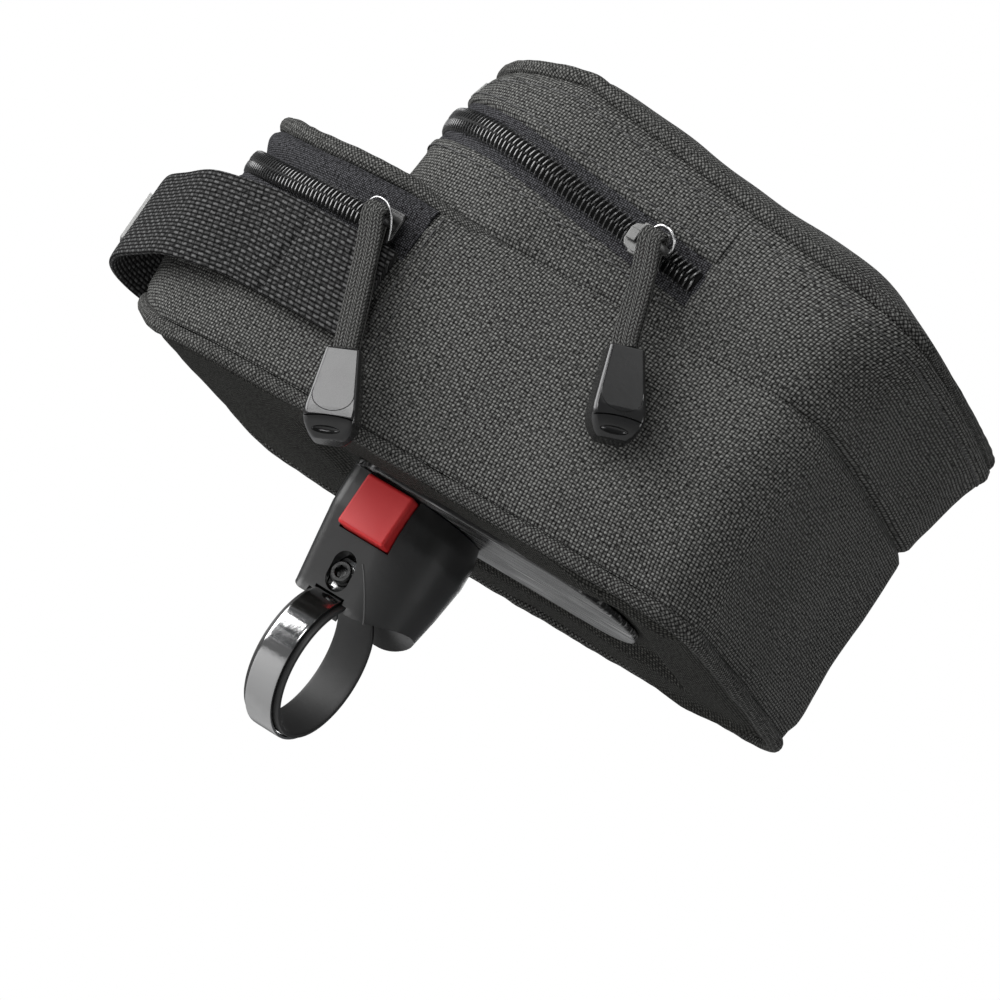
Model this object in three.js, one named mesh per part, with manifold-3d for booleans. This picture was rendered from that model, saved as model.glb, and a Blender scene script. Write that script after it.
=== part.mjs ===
// A small soft bicycle handlebar bag on its quick-release stem bracket.
// Millimetres. +X points to the front of the bicycle along the stem, +Y to the rider's left, +Z up.
// The origin lies on the stem's axis, under the middle of the bracket.
import * as THREE from "three";
import Module from "manifold-3d";

const wasm = await Module();
wasm.setup();

// Driving sizes
const STEM_RADIUS = 15;
const CLOTH = 1.5;
const GAP = 0.35;

const BASE_Z = 42.6;
const LID_Z = 90;
const TALL_Z = LID_Z + 0.4;
const FRONT_ZIP_DROP = 9;
const MAIN_ZIP_RISE = 20;
const TOP_SEAM_RISE = 19;
const FRONT_ZIP_Z = LID_Z - FRONT_ZIP_DROP;
const MAIN_ZIP_Z = LID_Z + MAIN_ZIP_RISE;
const SEAM_Z = MAIN_ZIP_Z + TOP_SEAM_RISE;
const NOSE_X = 80;
const REAR_X = -86;
const HALF_WIDTH = 47;
const TALL_FRONT_X = 41.5;
const FRONT_SEAM_X = 12;
const TALL_WIDE_X = -10;
const BACK_SEAM_X = -47;
const CORNER_RADIUS = 13;
const NOSE_POWER = 2.3;
const PROW_START_X = 45;
const BASE_PROW_START_X = 54;
const BASE_PROW = 9;
const LID_PROW = 4.5;
const TOP_SLOPE_X = 2;
const TOP_FRONT_SLOPE = -0.1;
const TOP_REAR_SLOPE = 0.158;
const TOP_CROWN = 7;
const LID_CROWN = 1.8;

const FRONT_ZIP_HALF = 4.2;
const MAIN_ZIP_X = 9;
const MAIN_ZIP_HALF = 4.9;
const MAIN_ZIP_FRONT_SLOPE = 0.1;
const MAIN_ZIP_REAR_SLOPE = 0.14;
const COIL_HALF = 2.9;
const COIL_HEIGHT = 1.3;
const SLIDER_LONG = 9;
const SLIDER_HIGH = 7.4;
const SLIDER_THICK = 1.8;
const FRONT_SLIDER_X = 20.5;
const MAIN_SLIDER_X = -33;

const BASE_PIPING = 1.6;
const LID_PIPING = 1.9;
const TOP_PIPING = 1.5;

const STRAP_WIDTH = 21.5;
const STRAP_THICK = 1.8;
const STRAP_CLEAR = 0.25;
const STRAP_DROP = 4;

const CORD_RADIUS = 1.3;

const PLATE_FRONT_X = 16;
const PLATE_REAR_X = -57;
const PLATE_HALF = 17.5;
const PLATE_CORNER = 16;
const PLATE_THICK = 1.7;
const BRACKET_TOP_Z = 39.6;
const BRACKET_FRONT_X = 12;
const BRACKET_REAR_X = -17.5;
const BRACKET_TOP_HALF = 15.4;
const BRACKET_FOOT_HALF = 10.2;
const BAND_X = 1.2;
const BAND_WIDTH = 7;
const LINER_WIDTH = 9.6;
const BUTTON_SIZE = 12.4;
const BUTTON_Z = 33;
const BUTTON_PROUD = 2;
const SCREW_Z = 18.6;

// Steps of the outlines
const NOSE_STEPS = 14;
const SIDE_STEPS = 4;
const CORNER_STEPS = 5;
const REAR_STEPS = 3;
const SEAM_STEP = NOSE_STEPS + SIDE_STEPS;
const HALF_STEPS = SEAM_STEP + SIDE_STEPS + CORNER_STEPS + REAR_STEPS;

// Outline tables: share of the height, how far the nose, the sides and the rear stand from their sizes
const LOWER_ROWS = [
  { share: 0, nose: -1, half: -0.4, rear: 0 },
  { share: 0.25, nose: -0.8, half: 0.8, rear: -1.4 },
  { share: 0.55, nose: -1.4, half: 1.3, rear: -1.8 },
  { share: 0.85, nose: -6.4, half: 1, rear: -0.8 },
  { share: 1, nose: -5.6, half: 0, rear: -0.6 },
];
const UPPER_ROWS = [
  { share: 0, nose: 0, half: 0, rear: -0.6 },
  { share: 0.3, nose: -1.5, half: 1, rear: 0.8 },
  { share: 0.6, nose: -3.2, half: 0.6, rear: 2.6 },
  { share: 0.85, nose: -4.2, half: -1, rear: 5.2 },
  { share: 1, nose: -5.4, half: -2.4, rear: 7 },
];

const mix = (a, b, t) => a + (b - a) * t;
const clamp = (v, a, b) => Math.min(b, Math.max(a, v));

// One column of a table at any share, with a smooth step between the rows
function read(rows, column, share) {
  const s = clamp(share, 0, 1);
  let k = 0;
  while (k < rows.length - 2 && s > rows[k + 1].share) {
    k += 1;
  }
  const at = (j) => rows[clamp(j, 0, rows.length - 1)];
  const t = (s - at(k).share) / (at(k + 1).share - at(k).share);
  const [p0, p1, p2, p3] = [k - 1, k, k + 1, k + 2].map((j) => at(j)[column]);
  const curve = 2 * p1 + (p2 - p0) * t + (2 * p0 - 5 * p1 + 4 * p2 - p3) * t * t;
  return (curve + (3 * p1 - p0 - 3 * p2 + p3) * t * t * t) / 2;
}

// A point of a rounded outline: step 0 is the nose's tip, HALF_STEPS the middle of the rear
function outlinePoint(shape, step) {
  const i = Math.abs(step);
  const side = step < 0 ? -1 : 1;
  const bend = shape.corner;
  let x = 0;
  let y = 0;
  if (i <= NOSE_STEPS) {
    const a = (i / NOSE_STEPS) * (Math.PI / 2);
    x = mix(shape.wide, shape.nose, Math.cos(a) ** (2 / NOSE_POWER));
    y = shape.half * Math.sin(a) ** (2 / NOSE_POWER);
    if (i === NOSE_STEPS) {
      x = shape.wide;
    }
  } else if (i <= SEAM_STEP) {
    x = mix(shape.wide, shape.seam, (i - NOSE_STEPS) / SIDE_STEPS);
    y = shape.half;
  } else if (i <= SEAM_STEP + SIDE_STEPS) {
    const t = (i - SEAM_STEP) / SIDE_STEPS;
    x = mix(shape.seam, shape.rear + bend, t);
    y = shape.half - shape.tuck * t * t;
  } else if (i <= SEAM_STEP + SIDE_STEPS + CORNER_STEPS) {
    const a = ((i - SEAM_STEP - SIDE_STEPS) / CORNER_STEPS) * (Math.PI / 2);
    x = shape.rear + bend - bend * Math.sin(a);
    y = shape.half - shape.tuck - bend + bend * Math.cos(a);
  } else {
    const t = (i - SEAM_STEP - SIDE_STEPS - CORNER_STEPS) / REAR_STEPS;
    x = shape.rear - shape.bow * t * (2 - t);
    y = (shape.half - shape.tuck - bend) * (1 - t);
  }
  return new THREE.Vector2(x, y * side);
}

const prow = (x, start = PROW_START_X) => clamp((x - start) / (NOSE_X - start), 0, 1) ** 2;

const lower = {
  rows: LOWER_ROWS,
  nose: NOSE_X,
  wide: FRONT_SEAM_X,
  seam: BACK_SEAM_X + 15,
  low: (x) => BASE_Z + BASE_PROW * prow(x, BASE_PROW_START_X),
  high: (x) => LID_Z + LID_PROW * prow(x),
};
const upper = {
  rows: UPPER_ROWS,
  nose: TALL_FRONT_X,
  wide: TALL_WIDE_X,
  seam: BACK_SEAM_X,
  low: () => TALL_Z,
  high: (x) => SEAM_Z + (x - TOP_SLOPE_X) * (x > TOP_SLOPE_X ? TOP_FRONT_SLOPE : TOP_REAR_SLOPE),
};

function shapeAt(body, share) {
  return {
    nose: body.nose + read(body.rows, "nose", share),
    half: HALF_WIDTH + read(body.rows, "half", share),
    rear: REAR_X - read(body.rows, "rear", share),
    wide: body.wide,
    seam: body.seam,
    corner: CORNER_RADIUS,
    tuck: 1,
    bow: 1.2,
  };
}

// A point of a body's skin at a step and height, moved outwards by `out` along the level normal
function skin(body, step, z, out) {
  const span = (s) => {
    const x = outlinePoint(shapeAt(body, 0.5), s).x;
    return clamp((z - body.low(x)) / (body.high(x) - body.low(x)), 0, 1);
  };
  const wrap = (s) => {
    if (s > HALF_STEPS) {
      return s - 2 * HALF_STEPS;
    }
    return s < -HALF_STEPS ? s + 2 * HALF_STEPS : s;
  };
  const shape = shapeAt(body, span(wrap(step)));
  const here = outlinePoint(shape, wrap(step));
  const before = outlinePoint(shape, wrap(step - 0.5));
  const after = outlinePoint(shape, wrap(step + 0.5));
  const along = after.sub(before).normalize();
  return new THREE.Vector3(here.x + along.y * out, here.y - along.x * out, z);
}

const midX = (body, step) => outlinePoint(shapeAt(body, 0.5), step).x;

// Mesh helpers
function geometryFrom(points, faces) {
  const geometry = new THREE.BufferGeometry();
  geometry.setAttribute("position", new THREE.Float32BufferAttribute(points.flatMap((p) => p.toArray()), 3));
  geometry.setIndex(faces.flat());
  geometry.computeVertexNormals();
  return geometry;
}

// A closed sheet between an outer and an inner grid of points, open-ended or running round
function sheet(outer, inner, round) {
  const rows = outer.length;
  const columns = outer[0].length;
  const points = [...outer.flat(), ...inner.flat()];
  const o = (k, i) => k * columns + (i % columns);
  const n = (k, i) => rows * columns + k * columns + (i % columns);
  const faces = [];
  const quad = (a, b, c, d) => faces.push([a, b, c], [a, c, d]);
  const last = round ? columns : columns - 1;
  for (let i = 0; i < last; i += 1) {
    for (let k = 0; k < rows - 1; k += 1) {
      quad(o(k, i), o(k, i + 1), o(k + 1, i + 1), o(k + 1, i));
      quad(n(k, i), n(k + 1, i), n(k + 1, i + 1), n(k, i + 1));
    }
    quad(o(0, i), n(0, i), n(0, i + 1), o(0, i + 1));
    quad(o(rows - 1, i), o(rows - 1, i + 1), n(rows - 1, i + 1), n(rows - 1, i));
  }
  if (!round) {
    for (let k = 0; k < rows - 1; k += 1) {
      quad(o(k, 0), o(k + 1, 0), n(k + 1, 0), n(k, 0));
      quad(o(k, last), n(k, last), n(k + 1, last), o(k + 1, last));
    }
  }
  return geometryFrom(points, faces);
}

const stepsBetween = (from, to) => Array.from({ length: to - from + 1 }, (_, i) => from + i);

// A strip of cloth on a body between two height functions
function strip(body, { from, to, low, high, rows, out = 0, thick = CLOTH }) {
  const round = to - from === 2 * HALF_STEPS;
  const steps = stepsBetween(from, round ? to - 1 : to);
  const grid = (offset) =>
    stepsBetween(0, rows).map((k) =>
      steps.map((s) => {
        const wrapped = s > HALF_STEPS ? s - 2 * HALF_STEPS : s;
        const x = midX(body, wrapped);
        return skin(body, wrapped, mix(low(x), high(x), k / rows), offset);
      }),
    );
  return sheet(grid(out), grid(out - thick), round);
}

// A domed panel filling a ring of points; height(x, y, k) gives its upper face, k being 1 at the edge
function panel(ring, height, thick, levels) {
  const centre = ring.reduce((sum, p) => sum.add(p), new THREE.Vector2()).divideScalar(ring.length);
  const points = [];
  const faces = [];
  const count = ring.length;
  for (const drop of [0, thick]) {
    for (const k of levels) {
      for (const p of ring) {
        const x = mix(centre.x, p.x, k);
        const y = mix(centre.y, p.y, k);
        points.push(new THREE.Vector3(x, y, height(x, y, k) - drop));
      }
    }
    points.push(new THREE.Vector3(centre.x, centre.y, height(centre.x, centre.y, 0) - drop));
  }
  const half = levels.length * count + 1;
  for (let i = 0; i < count; i += 1) {
    const j = (i + 1) % count;
    for (let k = 0; k < levels.length - 1; k += 1) {
      const [a, b, c, d] = [k * count + i, k * count + j, (k + 1) * count + j, (k + 1) * count + i];
      faces.push([a, b, c], [a, c, d], [half + a, half + c, half + b], [half + a, half + d, half + c]);
    }
    const inner = (levels.length - 1) * count;
    faces.push([inner + i, inner + j, half - 1], [half + inner + j, half + inner + i, 2 * half - 1]);
    faces.push([i, half + i, half + j], [i, half + j, j]);
  }
  return geometryFrom(points, faces);
}

// A round roll along a line of points, with flat ends or running round
function roll(line, radius, round, sides = 6) {
  const count = line.length;
  const rings = line.map((p, i) => {
    const before = line[round ? (i + count - 1) % count : Math.max(0, i - 1)];
    const after = line[round ? (i + 1) % count : Math.min(count - 1, i + 1)];
    const along = after.clone().sub(before).normalize();
    const side = new THREE.Vector3(along.y, -along.x, 0).normalize();
    const up = side.clone().cross(along).negate();
    return stepsBetween(0, sides - 1).map((k) => {
      const a = (k / sides) * 2 * Math.PI;
      return p.clone().addScaledVector(side, radius * Math.cos(a)).addScaledVector(up, radius * Math.sin(a));
    });
  });
  const points = rings.flat();
  const faces = [];
  const last = round ? count : count - 1;
  for (let i = 0; i < last; i += 1) {
    for (let k = 0; k < sides; k += 1) {
      const [a, b] = [i * sides + k, i * sides + ((k + 1) % sides)];
      const [c, d] = [((i + 1) % count) * sides + ((k + 1) % sides), ((i + 1) % count) * sides + k];
      faces.push([a, b, c], [a, c, d]);
    }
  }
  if (!round) {
    for (let k = 1; k < sides - 1; k += 1) {
      const end = (count - 1) * sides;
      faces.push([0, k + 1, k], [end, end + k, end + k + 1]);
    }
  }
  return geometryFrom(points, faces);
}

// Exact solids for boolean work
function toManifold(geometry) {
  const plain = geometry.index ? geometry.toNonIndexed() : geometry.clone();
  const position = plain.attributes.position;
  const seen = new Map();
  const vertices = [];
  const triangles = [];
  for (let i = 0; i < position.count; i += 1) {
    const xyz = [position.getX(i), position.getY(i), position.getZ(i)];
    const key = xyz.map((v) => Math.round(v * 1e4)).join(",");
    if (!seen.has(key)) {
      seen.set(key, vertices.length / 3);
      vertices.push(...xyz);
    }
    triangles.push(seen.get(key));
  }
  const kept = [];
  for (let t = 0; t < triangles.length; t += 3) {
    const [a, b, c] = triangles.slice(t, t + 3);
    if (a !== b && b !== c && c !== a) {
      kept.push(a, b, c);
    }
  }
  const mesh = new wasm.Mesh({
    numProp: 3,
    vertProperties: new Float32Array(vertices),
    triVerts: new Uint32Array(kept),
  });
  return new wasm.Manifold(mesh);
}

function fromManifold(solid) {
  const mesh = solid.getMesh();
  const geometry = new THREE.BufferGeometry();
  geometry.setAttribute("position", new THREE.BufferAttribute(new Float32Array(mesh.vertProperties), 3));
  geometry.setIndex(new THREE.BufferAttribute(new Uint32Array(mesh.triVerts), 1));
  geometry.computeVertexNormals();
  return geometry;
}

const box = (x0, x1, y0, y1, z0, z1) => {
  const geometry = new THREE.BoxGeometry(x1 - x0, y1 - y0, z1 - z0);
  geometry.translate((x0 + x1) / 2, (y0 + y1) / 2, (z0 + z1) / 2);
  return geometry;
};
const rodX = (radius, x0, x1, segments = 40) => {
  const geometry = new THREE.CylinderGeometry(radius, radius, x1 - x0, segments);
  geometry.rotateZ(Math.PI / 2).translate((x0 + x1) / 2, 0, 0);
  return geometry;
};
const rodY = (radius, x, z, y0, y1, segments = 20) => {
  const geometry = new THREE.CylinderGeometry(radius, radius, y1 - y0, segments);
  geometry.translate(x, (y0 + y1) / 2, z);
  return geometry;
};
const cut = (base, ...tools) =>
  fromManifold(tools.reduce((solid, tool) => solid.subtract(toManifold(tool)), toManifold(base)));
const join = (base, ...more) =>
  fromManifold(more.reduce((solid, piece) => solid.add(toManifold(piece)), toManifold(base)));

const bag = new THREE.Group();
function add(name, geometry, color, roughness, metalness = 0) {
  const material = new THREE.MeshStandardMaterial({ color, roughness, metalness });
  material.name = name;
  const mesh = new THREE.Mesh(geometry, material);
  mesh.name = name;
  bag.add(mesh);
  return mesh;
}
const CLOTH_BLACK = 0x2b2b2a;
const TAPE_BLACK = 0x26272b;
const PLASTIC_BLACK = 0x1b1b1c;
const STEEL = 0xb9bbbd;

// Lower body: base, nose, sides and rear
const baseRing = stepsBetween(-HALF_STEPS + 1, HALF_STEPS).map((s) => {
  const p = skin(lower, s, lower.low(midX(lower, s)), -2 * BASE_PIPING - GAP);
  return new THREE.Vector2(p.x, p.y);
});
const BASE_LEVELS = [1, 0.6, 0.3];
const panelHeight = (x) => lower.low(x) + 0.9;
add("bottom_panel", panel(baseRing, panelHeight, CLOTH, BASE_LEVELS), CLOTH_BLACK, 0.85);

const basePipingLine = stepsBetween(-HALF_STEPS + 1, HALF_STEPS).map((s) => {
  const z = lower.low(midX(lower, s));
  return skin(lower, s, z, -BASE_PIPING).setZ(z - BASE_PIPING - GAP);
});
add("bottom_piping", roll(basePipingLine, BASE_PIPING, true), CLOTH_BLACK, 0.85);

const frontZipZ = (x) => FRONT_ZIP_Z + LID_PROW * prow(x);
const noseWall = {
  from: -NOSE_STEPS,
  to: NOSE_STEPS,
  rows: 3,
  low: lower.low,
  high: (x) => frontZipZ(x) - FRONT_ZIP_HALF - GAP,
};
add("nose_wall", strip(lower, noseWall), CLOTH_BLACK, 0.85);

// The sides stop a little behind the upright seam, so that the two cloths keep apart
function sideGrid(body, offset, rows, low, high, firstStep) {
  const steps = stepsBetween(firstStep, 2 * HALF_STEPS - firstStep);
  return stepsBetween(0, rows).map((k) =>
    steps.map((s) => {
      const wrapped = s > HALF_STEPS ? s - 2 * HALF_STEPS : s;
      const x = midX(body, wrapped);
      const p = skin(body, wrapped, mix(low(x), high(x), k / rows), offset);
      return Math.abs(wrapped) === firstStep ? p.setX(p.x - GAP) : p;
    }),
  );
}
const backHalf = (body, rows, low, high, firstStep) =>
  sheet(sideGrid(body, 0, rows, low, high, firstStep), sideGrid(body, -CLOTH, rows, low, high, firstStep), false);
add("body_wall", backHalf(lower, 5, lower.low, lower.high, NOSE_STEPS), CLOTH_BLACK, 0.85);

const frontTape = {
  from: -NOSE_STEPS,
  to: NOSE_STEPS,
  rows: 4,
  out: -0.5,
  thick: 1,
  low: (x) => frontZipZ(x) - FRONT_ZIP_HALF,
  high: (x) => lower.high(x) - 0.1,
};
add("front_zip_tape", strip(lower, frontTape), TAPE_BLACK, 0.8);
const frontCoil = {
  from: -NOSE_STEPS + 1,
  to: NOSE_STEPS - 1,
  rows: 2,
  out: COIL_HEIGHT - 0.25,
  thick: COIL_HEIGHT,
  low: (x) => frontZipZ(x) - COIL_HALF,
  high: (x) => frontZipZ(x) + COIL_HALF,
};
add("front_zip_teeth", strip(lower, frontCoil), 0x161617, 0.35);

// Front lid: a crescent from the nose's edge back to the tall part
const PIPED_STEPS = NOSE_STEPS - 1;
const LID_ROWS = 4;
function lidPoint(step, k, lift) {
  const x = midX(lower, step);
  const inset = Math.abs(step) > PIPED_STEPS ? 0.6 : 2 * LID_PIPING + GAP;
  const edge = skin(lower, step, lower.high(x), -inset);
  const wall = skin(upper, step * 0.8, TALL_Z, GAP);
  const p = edge.lerp(wall, k);
  const middle = 1 - (step / NOSE_STEPS) ** 2;
  const crown = LID_CROWN * Math.sin(Math.PI * k) * middle;
  return p.setZ(lower.high(p.x) + GAP + CLOTH + 0.6 * middle + crown + lift);
}
const lidGrid = (from, to, k0, k1, lift) =>
  stepsBetween(0, LID_ROWS).map((k) => stepsBetween(from, to).map((s) => lidPoint(s, mix(k0, k1, k / LID_ROWS), lift)));
const lidSheet = (from, to, k0, k1, lift, thick) =>
  sheet(lidGrid(from, to, k0, k1, lift), lidGrid(from, to, k0, k1, lift - thick), false);
add("front_lid", lidSheet(-NOSE_STEPS, NOSE_STEPS, 0, 1, 0, CLOTH), CLOTH_BLACK, 0.85);
const lidPipingLine = stepsBetween(-PIPED_STEPS, PIPED_STEPS).map((s) => {
  const z = lower.high(midX(lower, s));
  return skin(lower, s, z, -LID_PIPING).setZ(z + LID_PIPING + GAP);
});
add("front_lid_piping", roll(lidPipingLine, LID_PIPING, false), CLOTH_BLACK, 0.85);

// Tall part: step wall, zip, band, back and top
const mainZipZ = (x) => {
  const slope = x > MAIN_ZIP_X ? MAIN_ZIP_FRONT_SLOPE : MAIN_ZIP_REAR_SLOPE;
  return MAIN_ZIP_Z + (x - MAIN_ZIP_X) * slope;
};
const stepWall = {
  from: -SEAM_STEP,
  to: SEAM_STEP,
  rows: 2,
  low: upper.low,
  high: (x) => mainZipZ(x) - MAIN_ZIP_HALF - GAP,
};
add("step_wall", strip(upper, stepWall), CLOTH_BLACK, 0.85);
const mainTape = {
  from: -SEAM_STEP,
  to: SEAM_STEP,
  rows: 2,
  out: -0.5,
  thick: 1,
  low: (x) => mainZipZ(x) - MAIN_ZIP_HALF,
  high: (x) => mainZipZ(x) + MAIN_ZIP_HALF,
};
add("main_zip_tape", strip(upper, mainTape), TAPE_BLACK, 0.8);
const mainCoil = {
  from: -SEAM_STEP,
  to: SEAM_STEP,
  rows: 1,
  out: COIL_HEIGHT - 0.25,
  thick: COIL_HEIGHT,
  low: (x) => mainZipZ(x) - COIL_HALF,
  high: (x) => mainZipZ(x) + COIL_HALF,
};
add("main_zip_teeth", strip(upper, mainCoil), 0x161617, 0.35);
const lidBand = {
  from: -SEAM_STEP,
  to: SEAM_STEP,
  rows: 3,
  low: (x) => mainZipZ(x) + MAIN_ZIP_HALF + GAP,
  high: upper.high,
};
add("lid_band", strip(upper, lidBand), CLOTH_BLACK, 0.85);
add("back_wall", backHalf(upper, 5, upper.low, upper.high, SEAM_STEP), CLOTH_BLACK, 0.85);

const topPipingLine = stepsBetween(-HALF_STEPS + 1, HALF_STEPS).map((s) => {
  const z = upper.high(midX(upper, s));
  return skin(upper, s, z, -TOP_PIPING).setZ(z + TOP_PIPING + GAP);
});
add("top_piping", roll(topPipingLine, TOP_PIPING, true), CLOTH_BLACK, 0.85);
const topRing = stepsBetween(-HALF_STEPS + 1, HALF_STEPS).map((s) => {
  const p = skin(upper, s, upper.high(midX(upper, s)), -2 * TOP_PIPING - GAP);
  return new THREE.Vector2(p.x, p.y);
});
const topHeight = (x, y, k) => upper.high(x) + TOP_PIPING + 1.2 + TOP_CROWN * (1 - k ** 4);
const TOP_LEVELS = [1, 0.86, 0.62, 0.32];
add("top_lid", panel(topRing, topHeight, CLOTH, TOP_LEVELS), CLOTH_BLACK, 0.85);

// Strap handle round the nose, standing off it in front
const sideY = (x) => {
  const shape = shapeAt(lower, 0.5);
  const u = clamp((x - shape.wide) / (shape.nose - shape.wide), 0, 1);
  return shape.half * (1 - u ** NOSE_POWER) ** (1 / NOSE_POWER);
};
const strapNose = NOSE_X + lower.rows[2].nose;
const strapZ = FRONT_ZIP_Z - SLIDER_HIGH / 2 - STRAP_CLEAR - STRAP_WIDTH / 2;
// Places along the strap: how far in front of the seam as a share of the nose's length, how far off the cloth
const STRAP_PATH = [
  { along: 0.01, off: 2 },
  { along: 0.16, off: 2 },
  { along: 0.35, off: 2.1 },
  { along: 0.51, off: 3.2 },
  { along: 0.65, off: 5.6 },
  { along: 0.79, off: 8.2 },
];
// The free loop in front, as shares of the nose's length and of the half width
const STRAP_LOOP = [
  { along: 0.95, across: 0.67 },
  { along: 1.085, across: 0.47 },
  { along: 1.18, across: 0.23 },
  { along: 1.212, across: 0 },
];
const alongNose = (share) => mix(FRONT_SEAM_X, strapNose, share);
const strapHalf = [
  ...STRAP_PATH.map(({ along, off }) => new THREE.Vector2(alongNose(along), sideY(alongNose(along)) + off)),
  ...STRAP_LOOP.map(({ along, across }) => new THREE.Vector2(alongNose(along), HALF_WIDTH * across)),
];
const strapPlan = [...strapHalf, ...strapHalf.slice(0, -1).reverse().map((p) => new THREE.Vector2(p.x, -p.y))];
const strapCurve = new THREE.SplineCurve(strapPlan);
const STRAP_STEPS = 44;
const strapPoint = (share, offset, up) => {
  const p = strapCurve.getPointAt(share);
  const along = strapCurve.getTangentAt(share);
  const sag = STRAP_DROP * clamp((p.x - PROW_START_X) / (NOSE_X - PROW_START_X), 0, 1.4);
  return new THREE.Vector3(p.x - along.y * offset, p.y + along.x * offset, strapZ - sag + up);
};
const bandGrid = (from, to, steps, half, offset) =>
  [-half, half].map((up) => stepsBetween(0, steps).map((i) => strapPoint(mix(from, to, i / steps), offset, up)));
const bandSheet = (from, to, steps, half, outer, inner) =>
  sheet(bandGrid(from, to, steps, half, inner), bandGrid(from, to, steps, half, outer), false);
const strapGeometry = bandSheet(0, 1, STRAP_STEPS, STRAP_WIDTH / 2, STRAP_THICK / 2, -STRAP_THICK / 2);
add("webbing_handle", strapGeometry, 0x232325, 0.8);

// Plain pale patches on the strap, the front lid and the tall front
const PATCH_THICK = 0.5;
const patchInner = STRAP_THICK / 2 + GAP;
const patchGeometry = bandSheet(0.44, 0.56, 8, STRAP_WIDTH * 0.34, patchInner + PATCH_THICK, patchInner);
add("strap_patch", patchGeometry, 0xb9bab8, 0.5);
const bandPatch = {
  from: -4,
  to: 4,
  rows: 1,
  out: GAP + PATCH_THICK,
  thick: PATCH_THICK,
  low: (x) => mix(lidBand.low(x), lidBand.high(x), 0.3),
  high: (x) => mix(lidBand.low(x), lidBand.high(x), 0.85),
};
add("front_patch", strip(upper, bandPatch), 0xb9bab8, 0.5);

add("lid_patch", lidSheet(-4, 4, 0.25, 0.75, GAP + PATCH_THICK, PATCH_THICK), 0xb9bab8, 0.5);

// Zip sliders and their pulls, each in a group whose x runs backwards along the zip, y up and z outwards
const BAIL_HIGH = 4.4;
const BAIL_WIDE = 3;
const BAIL_WIRE = 1.1;
const SLIDER_OUTLINE = [
  [-0.5, -0.32],
  [-0.1, -0.5],
  [0.4, -0.5],
  [0.5, -0.3],
  [0.5, 0.3],
  [0.4, 0.5],
  [-0.1, 0.5],
  [-0.5, 0.32],
];
const slab = (outline, thick) => {
  const shape = new THREE.Shape(outline.map(([x, y]) => new THREE.Vector2(x, y)));
  return new THREE.ExtrudeGeometry(shape, { depth: thick, bevelEnabled: false });
};
function sliderGeometry() {
  const outline = SLIDER_OUTLINE.map(([x, y]) => [x * SLIDER_LONG, y * SLIDER_HIGH]);
  const reach = SLIDER_LONG * 0.32;
  const top = SLIDER_THICK + BAIL_HIGH;
  const [wire, wide] = [BAIL_WIRE / 2, BAIL_WIDE / 2];
  const arm = (x) => box(x - wire, x + wire, -wide, wide, SLIDER_THICK / 2, top);
  const bar = box(-reach - wire, reach + wire, -wide, wide, top - BAIL_WIRE, top);
  return join(slab(outline, SLIDER_THICK), arm(-reach), arm(reach), bar);
}

const TOGGLE_LONG = 19;
const TOGGLE_THICK = 5.4;
const TOGGLE_REST = 1.8;
const TOGGLE_OUTLINE = [
  [0.2, 0],
  [-0.2, 0],
  [-0.28, -0.72],
  [-0.25, -0.88],
  [-0.16, -1],
  [0.16, -1],
  [0.25, -0.88],
  [0.28, -0.72],
];
const toggleGeometry = () => slab(TOGGLE_OUTLINE.map(([x, y]) => [x * TOGGLE_LONG, y * TOGGLE_LONG]), TOGGLE_THICK);

// The cord's line: up from the toggle, under the bail, over it and down again
function cordCurve({ lean, drop, turn }) {
  const under = SLIDER_THICK + (BAIL_HIGH - BAIL_WIRE) / 2;
  const over = SLIDER_THICK + BAIL_HIGH + CORD_RADIUS + GAP;
  const rest = TOGGLE_REST + TOGGLE_THICK / 2;
  const spread = CORD_RADIUS + 0.25;
  const [sx, sy] = [spread * Math.cos(turn), spread * Math.sin(turn)];
  const [dx, dy] = [2 * Math.sin(turn), 2 * Math.cos(turn)];
  const points = [
    [lean - sx, -drop - sy, rest],
    [lean - sx - dx, dy - drop - sy, rest],
    [lean * 0.55 - spread, -drop * 0.55, rest],
    [-spread + 0.4, -7, under + 0.2],
    [-0.4, -2.5, under],
    [0, 0, under],
    [0, 2.3, under + 0.2],
    [0.1, 4, (under + over) / 2],
    [0.3, 2.4, over],
    [0.5, 0, over + 0.2],
    [0.9, -2.8, over - 0.6],
    [spread + 0.6, -7.5, rest + 1.6],
    [lean * 0.55 + spread, -drop * 0.55, rest],
    [lean + sx - dx, dy - drop + sy, rest],
    [lean + sx, sy - drop, rest],
  ];
  return new THREE.CatmullRomCurve3(points.map(([x, y, z]) => new THREE.Vector3(x, y, z)), false, "centripetal");
}

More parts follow.
